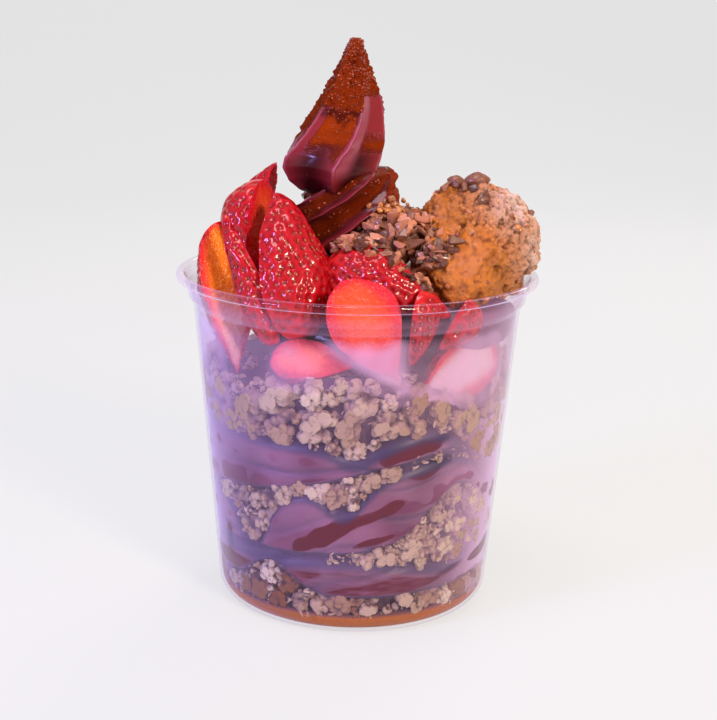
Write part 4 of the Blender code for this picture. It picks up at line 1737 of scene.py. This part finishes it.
@dataclass
class CacaoNibs:
    """Broken roasted cacao beans: a heap between peak and scoop, and strays on the scoop."""
    scoop: NutButterScoop
    cup: DeliCup
    under: "Strawberry"          # the berry below the heap
    middle: Triple = (9.8, -13.4, 118.4)
    radii: Triple = (15.5, 10.0, 9.0)
    tilt: float = -24.0
    trail: tuple[Triple, ...] = ((-0.90, -0.44, 0.16), (-0.46, -0.88, -0.04))
    halves: tuple[tuple[float, float, float, float], ...] = (
        (30.4, -8.5, 138.0, 3.0), (36.8, -8.5, 138.3, 4.3))
    seed: int = 5
    # nibs that lie apart on the scoop: direction from its middle and radius
    apart: tuple[tuple[Triple, float], ...] = (
        ((-0.42, -0.25, 0.90), 1.9), ((-0.30, -0.35, 0.92), 1.7), ((-0.12, -0.40, 0.95), 1.5),
        ((0.02, -0.58, 0.80), 2.2), ((-0.50, -0.30, 0.80), 1.6), ((0.85, -0.10, 0.52), 1.5))
    shapes: int = 10
    count: int = 190             # in the heap
    trailing: int = 70           # on the scoop's near shoulder
    drifted: int = 75            # along the top of the berry below the heap
    strays: int = 22             # over the top of the scoop
    core: float = 0.88           # size of the heap's packed middle, as a share of the heap

    def model_nib(self, number: int) -> Piece:
        """Break a small block into one angular nib about 1 mm in radius.

        Args:
            number: its number, which also seeds it.

        Returns:
            The nib.
        """
        chance = Random(self.seed * 100 + number)
        clear_selection()
        bpy.ops.mesh.primitive_cube_add(size=2.0)
        piece = name_piece(f"nib_shape_{number}")
        bpy.ops.object.mode_set(mode="EDIT")
        for _ in range(7):
            way = Vector((chance.uniform(-1, 1), chance.uniform(-1, 1), chance.uniform(-1, 1)))
            way.normalize()
            bpy.ops.mesh.select_all(action="SELECT")
            bpy.ops.mesh.bisect(plane_co=way * chance.uniform(0.55, 0.8), plane_no=way,
                                use_fill=True, clear_outer=True)
        bpy.ops.mesh.select_all(action="SELECT")
        bpy.ops.mesh.bevel(offset=0.07, segments=1)
        bpy.ops.mesh.quads_convert_to_tris()
        bpy.ops.object.mode_set(mode="OBJECT")
        paint = add_paint(piece.data)
        for colour in paint.data:
            colour.color = (chance.random(), 0.0, 0.0, 1.0)
        return piece

    def model_half(self) -> Piece:
        """Shape half of a roasted bean about 1 mm in radius: round on top, wrinkled, narrow at its ends.

        Returns:
            The half bean.
        """
        clear_selection()
        bpy.ops.mesh.primitive_ico_sphere_add(subdivisions=4, radius=1.0)
        piece = name_piece("bean_half_shape")
        paint = add_paint(piece.data)
        for vertex, colour in zip(piece.data.vertices, paint.data):
            spot = vertex.co.copy()
            wrinkle = ripple(Vector((spot.x * 0.35, spot.y, spot.z)), 0.32, 2.0)
            narrow = 1.0 - 0.35 * spot.x * spot.x
            vertex.co = (spot.x, spot.y * narrow * (1.0 + 0.10 * wrinkle),
                         spot.z * narrow * (1.0 + 0.14 * wrinkle))
            colour.color = (limit(0.4 + 0.6 * wrinkle), 0.0, 0.0, 1.0)
        return piece

    def heap(self, material: Material) -> Piece:
        """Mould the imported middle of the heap, a little smaller than the heap.

        Args:
            material: its finish.

        Returns:
            The heap's middle.
        """
        tilt = Matrix.Rotation(radians(self.tilt), 3, "Y")

        def place(angle: float, share: float) -> Spot:
            """A point of the heap's middle."""
            rise = radians(180.0 * share - 90.0)
            way = around(angle, cos(rise), sin(rise))
            body = Vector(radius * part * self.core for radius, part in zip(self.radii, way))
            point = Vector(self.middle) + tilt @ body
            point += way * (0.8 * ripple(point, 3.0, 1.0) - 0.3)
            return point, (0.1, 0.0, 0.0)

        return mould_ball("cacao_nib_heap_middle", 64, 36, place, material)

    def build(self, material: Material) -> tuple[Piece, Piece]:
        """Model the nibs and lay them over the heap and on the scoop.

        Args:
            material: the nibs' finish.

        Returns:
            The heap's middle and the loose nibs.
        """
        chance = Random(self.seed)
        tilt = Matrix.Rotation(radians(self.tilt), 3, "Y")
        copies: list[Copy] = []

        def add(point: Vector, size: float, flat: float = 0.6) -> None:
            """Lay one nib at a point, turned at random."""
            turn = turn_at_random(chance)
            shape = Matrix.Diagonal(Vector((1.25, 0.9, flat, 1.0)))
            copies.append(Copy(chance.randrange(self.shapes),
                               Matrix.Translation(point) @ turn @ shape @ Matrix.Scale(size, 4),
                               chance.random() ** 1.5, 0.0))

        for _ in range(self.count):
            angle, rise = chance.uniform(-180.0, 180.0), asin(chance.uniform(-0.45, 1.0))
            way = around(angle, cos(rise), sin(rise))
            body = Vector(radius * part for radius, part in zip(self.radii, way))
            add(Vector(self.middle) + tilt @ (body * chance.uniform(0.86, 1.0)),
                chance.uniform(1.1, 2.5), chance.uniform(0.35, 0.75))
        # a trail over the scoop's near shoulder
        for _ in range(self.trailing):
            share = chance.random()
            way = Vector(self.trail[0]).lerp(Vector(self.trail[1]), share)
            way += Vector((chance.gauss(0, 0.07), chance.gauss(0, 0.07), chance.gauss(0, 0.11)))
            add(self.scoop.surface(way.normalized())[0] + way * 0.4, chance.uniform(1.0, 2.1))
        # a drift along the top of the berry below the heap
        stem, along, _, _ = self.under.axes()
        for _ in range(self.drifted):
            share = chance.uniform(0.05, 0.82)
            way = Vector((0.0, chance.uniform(-0.62, 0.3), 1.0)).normalized()
            add(stem + along * share + way * (self.under.radius_at(share) + 0.4),
                chance.uniform(0.9, 2.1))
        for _ in range(self.strays):
            way = Vector((chance.uniform(-0.9, 0.9), chance.uniform(-0.8, 0.6), chance.uniform(0.1, 1.0)))
            add(self.scoop.surface(way.normalized())[0], chance.uniform(0.5, 1.1))
        for way, size in self.apart:
            spot = self.scoop.surface(Vector(way).normalized())[0]
            add(spot + Vector(way) * size * 0.35, size, 0.62)
        templates = [self.model_nib(number) for number in range(self.shapes)]
        # two half beans lie on the very top
        for number, (x, y, z, size) in enumerate(self.halves):
            shape = Matrix.Diagonal(Vector((size, size * 0.66, size * 0.60, 1.0)))
            tip = Matrix.Rotation(radians(9.0 - 14.0 * number), 4, "Y")
            copies.append(Copy(self.shapes, Matrix.Translation((x, y, z)) @ tip @ shape, 0.25, 0.0))
        templates.append(self.model_half())
        nibs = lay_copies("cacao_nib_pieces", templates, copies,
                          lambda point: self.cup.keep_inside(point, 0.2), material)
        clear_selection()
        nibs.select_set(True)
        bpy.context.view_layer.objects.active = nibs
        bpy.ops.object.shade_smooth_by_angle(angle=radians(25.0))
        discard(templates)
        return self.heap(material), nibs


class Cut(Enum):
    """How a strawberry piece was cut, always along the berry."""
    HALF = "half"
    SLICE = "slice"
    WEDGE = "wedge"


class Corner(NamedTuple):
    """A point of a strawberry's cross-section: towards the cut, beside it, on flesh, nearness to skin."""
    towards: float
    beside: float
    flesh: bool
    near: float


@dataclass
class Strawberry:
    """A cut piece of a strawberry, from the middle of its stem end to its tip."""
    node: str
    stem: Triple
    tip: Triple
    width: float
    looks: Triple
    cut: Cut
    pale: float = 0.0
    # partly the flesh's own orange, partly painted warm light
    orange_and_warm_light: float = 0.12           # how orange its cut face is towards the stem
    mist: float = 0.50           # how strongly it mists the wall beside it
    taper: float = 0.0           # how much more its tip is drawn out to a point
    shoulder: float = 0.66
    fullness: float = 0.75
    slice_thickness: float = 7.0
    wedge_core: float = 0.06
    skin_sides: int = 88
    flesh_sides: int = 24
    rows: int = 80
    seed_pitch: float = 3.3      # mm between seeds
    dimple: float = 0.85         # depth of a seed's dimple
    dimple_width: float = 1.2
    seeds: list[Matrix] = field(default_factory=list)

    def axes(self) -> tuple[Vector, Vector, Vector, Vector]:
        """The stem point, the way along, the way towards the cut and the way beside it.

        Returns:
            The point, the way along at its full length, and two directions of length 1.
        """
        stem = Vector(self.stem)
        along = Vector(self.tip) - stem
        looks = Vector(self.looks)
        looks = (looks - looks.project(along)).normalized()
        return stem, along, looks, along.cross(looks).normalized()

    def radius_at(self, share: float) -> float:
        """The berry's radius at a share of the way along it."""
        fullness = self.fullness + self.taper * share
        return max(sin(pi * share ** self.shoulder), 0.0) ** fullness * self.width / 2.0

    def section(self, radius: float) -> list[Corner]:
        """The cross-section's outline, starting opposite the cut.

        Args:
            radius: the berry's radius there.

        Returns:
            The corners, in order round the piece.
        """
        def arc(first: float, last: float, count: int) -> list[Corner]:
            """Corners along the skin, between two angles in degrees."""
            turns = [radians(first + (last - first) * (step + 0.5) / count) for step in range(count)]
            return [Corner(radius * cos(t), radius * sin(t), False, 1.0) for t in turns]

        def chord(start: tuple[float, float], end: tuple[float, float], count: int,
                  near: tuple[float, float]) -> list[Corner]:
            """Corners along a straight cut, with their nearness to the skin."""
            made = []
            for step in range(count):
                share = step / (count - 1)
                made.append(Corner(start[0] + (end[0] - start[0]) * share,
                                   start[1] + (end[1] - start[1]) * share, True,
                                   near[0] + (near[1] - near[0]) * share))
            return made

        half_skin, half_flesh = self.skin_sides // 2, self.flesh_sides // 2
        if self.cut is Cut.WEDGE:
            core = min(self.wedge_core * self.width, radius * 0.9)
            wide = 45.0 + degrees(asin(min(0.99, core / (radius * sqrt(2.0))))) if radius else 45.0
            left = (radius * cos(radians(wide)), -radius * sin(radians(wide)))
            right = (left[0], -left[1])
            return (chord((-core, 0.0), left, half_flesh, (0.15, 1.0))
                    + arc(-wide, wide, self.skin_sides)
                    + chord(right, (-core, 0.0), half_flesh, (1.0, 0.15)))
        if self.cut is Cut.SLICE:
            back = min(self.slice_thickness, radius * 0.98)
            turn = degrees(acos(-back / radius)) if radius else 90.0
            side = radius * sin(radians(turn))
            quarter = self.flesh_sides // 4
            return (chord((-back, 0.0), (-back, -side), quarter, (0.2, 1.0))
                    + arc(-turn, -90.0, half_skin)
                    + chord((0.0, -radius), (0.0, 0.0), quarter, (1.0, 0.1))
                    + chord((0.0, radius / (quarter + 1)), (0.0, radius), quarter, (0.25, 1.0))
                    + arc(90.0, turn, half_skin)
                    + chord((-back, side), (-back, side / (quarter + 1)), quarter, (1.0, 0.3)))
        return (arc(-180.0, -90.0, half_skin)
                + chord((0.0, -radius), (0.0, 0.0), half_flesh, (1.0, 0.1))
                + chord((0.0, radius / (half_flesh + 1)), (0.0, radius), half_flesh, (0.2, 1.0))
                + arc(90.0, 180.0, half_skin))

    def gap_to(self, point: Vector) -> float:
        """Roughly how far a point in millimetres is from the piece.

        Args:
            point: a point in millimetres.

        Returns:
            The gap in millimetres, negative inside.
        """
        stem = Vector(self.stem)
        along = Vector(self.tip) - stem
        share = limit((point - stem).dot(along) / along.length_squared)
        return (point - stem - along * share).length - self.radius_at(share)

    def skin_angles(self) -> tuple[float, float]:
        """First and last angle of the skin, 0 towards the cut or, on a wedge, the skin's middle.

        Returns:
            The two angles in degrees.
        """
        if self.cut is Cut.WEDGE:
            return -46.0, 46.0
        if self.cut is Cut.SLICE:
            return 94.0, 94.0 + degrees(asin(min(1.0, 2.0 * self.slice_thickness / self.width)))
        return 94.0, 266.0

    def lay_seeds(self) -> list[tuple[Vector, Vector]]:
        """Places and outward directions of the seeds, in rows that turn round the berry.

        Returns:
            A place and an outward direction for each seed.
        """
        stem, along, looks, beside = self.axes()
        length = along.length
        first, last = self.skin_angles()
        spans = [(first, last)]
        if self.cut is Cut.SLICE:
            spans.append((-last, -first))
        chance = Random(int(length * 100))
        found = []
        rows = round(length / (self.seed_pitch * 0.80))
        for row in range(1, rows):
            share = row / rows
            radius = self.radius_at(share)
            step = degrees(self.seed_pitch / max(radius, 1.5))
            for start, end in spans:
                angle = start + step * (0.5 if row % 2 else 0.05)
                while angle < end:
                    turn = radians(angle + chance.uniform(-0.24, 0.24) * step)
                    spot = share + chance.uniform(-0.22, 0.22) / rows
                    way = looks * cos(turn) + beside * sin(turn)
                    slope = (self.radius_at(spot + 0.02) - self.radius_at(spot - 0.02)) / (
                        0.04 * length)
                    out = (way - along.normalized() * slope).normalized()
                    found.append((stem + along * spot + way * self.radius_at(spot), out))
                    angle += step
        return found

    def build(self, cup: DeliCup, skin: Material,
              flesh: Material) -> Piece:
        """Mould the piece, dimple its skin and note where its seeds lie.

        Args:
            cup: the cup that it stays inside.
            skin: the skin's finish.
            flesh: the cut face's finish.

        Returns:
            The piece.
        """
        stem, along, looks, beside = self.axes()
        seeds = self.lay_seeds()
        tree = KDTree(max(1, len(seeds)))
        for index, (spot, _) in enumerate(seeds):
            tree.insert(spot, index)
        tree.balance()
        sides = len(self.section(1.0))
        sections: dict[int, list[Corner]] = {}

        def place(angle: float, share: float) -> Spot:
            """A point of the piece, on its skin or on its cut face."""
            row = round(share * self.rows)
            where = (1.0 - cos(pi * share)) / 2.0 * 0.55 + 0.45 * share
            radius = self.radius_at(where)
            if row not in sections:
                sections[row] = self.section(radius)
            corner = sections[row][round((angle + 180.0) / 360.0 * sides) % sides]
            spot = stem + along * where
            flat = looks * corner.towards + beside * corner.beside
            point = spot + flat
            bulge = 0.05 * self.width * ripple(point, 13.0, 2.0)
            way = flat.normalized() if flat.length > 0.01 else along.normalized()
            if corner.flesh:
                end = abs(2.0 * where - 1.0) ** 4
                low = ease(0.40, 0.75, where)
                # towards the tip the flesh also takes the darker rim colour, which is painted shade, except
                # on pale berries
                near = limit(max(corner.near ** 1.5, end, 0.8 * low * (1.0 - self.pale)))
                facing = looks if self.cut is not Cut.WEDGE else -looks
                dome = 0.45 * ripple(point, 5.0, 3.0) + 0.22 * ripple(point, 1.9, 8.0)
                dome -= 0.25 * (1.0 - near)
                point += facing * dome + way * bulge * corner.near
                # the orange is partly painted warm light
                orange = self.orange_and_warm_light * (1.0 - ease(0.35, 0.95, near)) * (1.0 - low)
                heart = self.pale * (1.0 - ease(0.25, 0.8, near)) * limit(low + 1.0 - self.orange_and_warm_light)
                return cup.keep_inside(point, 0.1), (near, orange, limit(heart))
            gap = tree.find(point)[2] if seeds else 9.0
            pit = exp(-(gap / (self.dimple_width * (1.0 + 0.35 * ripple(point, 4.0, 7.0)))) ** 2)
            point += way * (bulge - self.dimple * pit + 0.10 * ripple(point, 2.2, 5.0))
            # the second channel darkens the dimples with painted shade
            return cup.keep_inside(point, 0.1), (where, 0.75 * pit, 0.0)

        kinds = [corner.flesh for corner in self.section(1.0)]

        def slot_at(angle: float) -> int:
            """The slot of a face: 1 on the cut, 0 on the skin."""
            side = int((angle + 180.0) / 360.0 * sides) % sides
            return 1 if kinds[side] and kinds[(side + 1) % sides] else 0

        number = self.node.rsplit("_", 1)[1]
        piece = mould_ball(f"strawberry_piece_{number}", sides, self.rows, place, skin, flesh,
                           slot_at=slot_at)
        bpy.ops.object.shade_smooth_by_angle(angle=radians(38.0))
        for spot, out in seeds:
            settled = cup.keep_inside(spot - out * (self.dimple - 0.10), 0.1)
            tipwards = (along - along.project(out)).normalized()
            lie = Matrix((tipwards, out.cross(tipwards), out)).transposed()
            self.seeds.append(Matrix.Translation(settled) @ lie.to_4x4())
        return piece


BERRIES: tuple[Strawberry, ...] = (
    Strawberry("strawberry_01", (-42.6, -8.5, 124.0), (-36.6, -29.5, 79.5), 20.5,
               (0.55, -0.83, 0.10), Cut.SLICE, pale=0.6, orange_and_warm_light=1.0, taper=0.25),
    Strawberry("strawberry_02", (-29.5, -3.0, 136.5), (-33.5, -12.0, 102.0), 26.0,
               (0.97, -0.22, 0.10), Cut.HALF, orange_and_warm_light=0.0),
    Strawberry("strawberry_03", (-37.0, 14.0, 108.0), (-26.7, 5.0, 141.5), 21.0,
               (0.93, -0.35, 0.10), Cut.HALF),
    Strawberry("strawberry_04", (-24.5, -33.0, 90.0), (-41.0, -22.0, 128.0), 12.5,
               (-0.15, -0.98, 0.0), Cut.WEDGE),
    Strawberry("strawberry_05", (-17.9, -30.8, 91.0), (-25.7, -13.5, 134.0), 28.0,
               (-0.80, 0.60, 0.0), Cut.HALF, fullness=0.64),
    Strawberry("strawberry_06", (-9.5, -22.0, 113.5), (28.5, -34.0, 100.0), 22.0,
               (-0.10, 0.50, -0.86), Cut.HALF),
    Strawberry("strawberry_07", (-4.5, -45.0, 112.5), (13.5, -46.5, 81.5), 22.0,
               (0.0, -1.0, 0.10), Cut.SLICE, shoulder=0.70, taper=0.6, orange_and_warm_light=0.15, mist=0.75),
    Strawberry("strawberry_08", (20.0, -36.0, 108.5), (16.3, -40.5, 86.0), 13.0,
               (0.45, -0.88, 0.10), Cut.WEDGE),
    Strawberry("strawberry_09", (35.0, -29.5, 103.5), (25.0, -38.5, 91.0), 14.0,
               (0.55, -0.82, 0.10), Cut.WEDGE),
    Strawberry("strawberry_10", (44.0, -22.0, 88.0), (19.5, -44.0, 77.5), 21.0,
               (0.67, -0.74, 0.0), Cut.HALF, pale=1.0, orange_and_warm_light=0.0, mist=0.45),
    Strawberry("strawberry_11", (-25.5, -38.0, 88.0), (-0.5, -44.0, 87.0), 15.0,
               (0.0, -0.62, 0.78), Cut.HALF, pale=0.12, mist=0.25),
    Strawberry("strawberry_12", (2.0, 41.0, 109.0), (-13.0, 38.0, 85.0), 22.0,
               (0.10, 0.98, 0.15), Cut.HALF),
    Strawberry("strawberry_13", (19.0, 41.0, 87.0), (30.0, 27.0, 114.0), 20.0,
               (0.55, 0.83, 0.0), Cut.SLICE),
    Strawberry("strawberry_14", (44.0, 19.0, 106.0), (38.0, 22.0, 82.0), 20.0,
               (0.90, 0.43, 0.0), Cut.SLICE),
)


@dataclass
class StrawberrySeeds:
    """The seeds of all the strawberry pieces, each in its dimple."""
    length: float = 0.55         # half length of a seed in millimetres
    width: float = 0.33
    height: float = 0.22
    seed: int = 3

    def model_seed(self) -> Piece:
        """Shape one seed: a teardrop with its point towards the berry's tip.

        Returns:
            The seed.
        """
        clear_selection()
        bpy.ops.mesh.primitive_uv_sphere_add(segments=7, ring_count=5, radius=1.0)
        piece = name_piece("seed_shape")
        paint = add_paint(piece.data)
        for vertex, colour in zip(piece.data.vertices, paint.data):
            narrow = 1.0 - 0.35 * vertex.co.x
            vertex.co = (vertex.co.x * self.length, vertex.co.y * self.width * narrow,
                         vertex.co.z * self.height)
            colour.color = (0.5, 0.0, 0.0, 1.0)
        return piece

    def build(self, berries: Sequence[Strawberry], material: Material) -> Piece:
        """Lay a seed in every dimple.

        Args:
            berries: the pieces, already moulded.
            material: the seeds' finish.

        Returns:
            One piece with all the seeds.
        """
        chance = Random(self.seed)
        template = self.model_seed()
        copies = [Copy(0, place, chance.random(), 0.0) for berry in berries for place in berry.seeds]
        seeds = lay_copies("strawberry_seeds", [template], copies, lambda point: point, material)
        discard([template])
        return seeds


# ---------------------------------------------------------------- the studio

class Lamp(NamedTuple):
    """A square area light: its name, place, side in metres, power in watts and hex colour."""
    name: str
    place: Triple
    size: float
    watts: float
    colour: str


@dataclass
class Studio:
    """Plain paper, soft lights and the camera. Sizes here are in metres."""
    lamps: tuple[Lamp, ...] = (
        Lamp("key_light", (0.45, -0.70, 0.55), 0.15, 7.5, "FFE2CC"),
        Lamp("cool_light", (-0.65, -0.45, 0.40), 0.16, 5.4, "B0A4FF"),
        Lamp("top_light", (-0.10, -0.15, 0.95), 0.35, 3.6, "FFF4FA"),
        Lamp("back_light", (0.35, 0.70, 0.65), 0.45, 3.0, "FFEAE0"),
    )
    aim: Triple = (0.0, 0.0, 0.09)
    sky: str = "EEE8F8"
    sky_strength: float = 0.34
    flat: float = 0.8            # how far behind the cup the paper lies flat
    sweep: float = 0.9           # length of its bend
    sweep_radius: float = 0.573
    focal: float = 67.70
    camera_place: Triple = (0.0, -0.43285, 0.18866)
    pitch: float = 14.41
    yaw: float = -0.11
    roll: float = 1.08

    def lay_paper(self, finish: StudioPaper) -> Piece:
        """Lay a sheet of paper that sweeps up behind the cup.

        Args:
            finish: its finish.

        Returns:
            The paper.
        """
        clear_selection()
        bpy.ops.mesh.primitive_grid_add(x_subdivisions=2, y_subdivisions=60, size=2.0)
        paper = name_piece("studio_paper")
        for vertex in paper.data.vertices:
            run = (vertex.co.y + 1.0) * 1.6 - 1.2
            turn = limit((run - self.flat) / self.sweep) * pi / 2.0
            back = min(run, self.flat) + self.sweep_radius * sin(turn)
            rise = self.sweep_radius * (1.0 - cos(turn)) + max(0.0, run - self.flat - self.sweep)
            vertex.co = (vertex.co.x * 2.5, back, rise)
        bpy.ops.object.shade_smooth()
        dress(paper, finish.make())
        return paper

    def hang(self, lamp: Lamp) -> None:
        """Hang a soft light that faces the middle of the cup.

        Args:
            lamp: the light.
        """
        clear_selection()
        bpy.ops.object.light_add(type="AREA", location=lamp.place)
        light = bpy.context.active_object
        light.name = light.data.name = lamp.name
        light.data.size = lamp.size
        light.data.energy = lamp.watts
        light.data.color = linear(lamp.colour)[:3]
        way = Vector(self.aim) - Vector(lamp.place)
        light.rotation_euler = way.to_track_quat("-Z", "Y").to_euler()

    def build(self) -> None:
        """Set up the paper, the lights, the sky and the camera."""
        self.lay_paper(StudioPaper())
        for lamp in self.lamps:
            self.hang(lamp)
        scene = bpy.context.scene
        world = bpy.data.worlds.new("studio_sky")
        world.use_nodes = True
        feed(world.node_tree, world.node_tree.nodes["Background"], {
            "Color": linear(self.sky), "Strength": self.sky_strength})
        scene.world = world
        scene.view_settings.view_transform = "Standard"
        clear_selection()
        bpy.ops.object.camera_add(location=self.camera_place)
        camera = bpy.context.active_object
        camera.name = "camera_front"
        camera.data.lens = self.focal
        camera.data.sensor_width = 36.0
        turn = (Matrix.Rotation(radians(self.yaw), 3, "Z")
                @ Matrix.Rotation(radians(90.0 - self.pitch), 3, "X")
                @ Matrix.Rotation(radians(self.roll), 3, "Z"))
        camera.rotation_euler = turn.to_euler()
        scene.camera = camera


# ---------------------------------------------------------------- making it all

def stand_for(piece: Piece, slot: str, *nodes: str) -> None:
    """Ride a piece on the cup's body and hide the solids that it stands for.

    Args:
        piece: the piece.
        slot: not used.
        nodes: the solids that it replaces.
    """
    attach(piece, "root")
    if nodes:
        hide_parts(*nodes)
    LOG.info("%s: %d faces", piece.name, len(piece.data.polygons))


def main() -> None:
    """Build the studio and every piece of the acai cup, in order."""
    logging.basicConfig(level=logging.INFO, format="%(name)s %(message)s")
    Studio().build()
    filling = Filling()
    cup = DeliCup(filling, fruit=BERRIES)
    stand_for(cup.build(ClearPolypropylene()), "clear_plastic", "cup")

    acai = PressedAcai().make()
    bed = SoakedGranola().make()
    layers = (("granola_base", LayerKind.GRANOLA), ("acai_lower", LayerKind.ACAI),
              ("granola_lower", LayerKind.GRANOLA), ("acai_middle", LayerKind.ACAI),
              ("granola_middle", LayerKind.GRANOLA), ("acai_upper", LayerKind.ACAI),
              ("granola_top", LayerKind.GRANOLA))
    for index, (node, kind) in enumerate(layers):
        piece = Layer(node, index, kind, cup).build(acai if kind is LayerKind.ACAI else bed)
        stand_for(piece, kind.value, node)
    for piece in Clusters(cup).build(BakedGranola().make()):
        stand_for(piece, "granola")

    serve = SoftServe()
    stand_for(serve.build(DustedSoftServe().make()), "acai", "acai_swirl")
    cocoa = PlainFood("cocoa_and_cinnamon", "641C0A", "9C4018", 0.45, 0.5, 0.2).make()
    stand_for(serve.scatter(cocoa), "cacao")
    scoop = NutButterScoop(cup)
    stand_for(scoop.build(ScoopedNutButter().make()), "nut_butter", "nut_butter_scoop")
    nuts = PlainFood("nuts_roasted_chopped", "7A3C14", "CC8440", 0.30, 1.4, 0.4).make()
    stand_for(scoop.stud(nuts), "nut_butter")
    stand_for(scoop.bed(acai), "acai")
    cacao = PlainFood("cacao_nib_roasted", "361208", "C07C58", 0.40, 1.1, 0.35).make()
    heap, nibs = CacaoNibs(scoop, cup, BERRIES[5]).build(cacao)
    stand_for(heap, "cacao", "cacao_nibs")
    stand_for(nibs, "cacao")

    skin, flesh = StrawberrySkin().make(), StrawberryFlesh().make()
    for berry in BERRIES:
        stand_for(berry.build(cup, skin, flesh), "strawberry", berry.node)
    seed = PlainFood("strawberry_seed", "6A1808", "B8641C", 0.30, 0.6, 0.4).make()
    stand_for(StrawberrySeeds().build(BERRIES, seed), "strawberry")


if __name__ == "__main__":
    main()
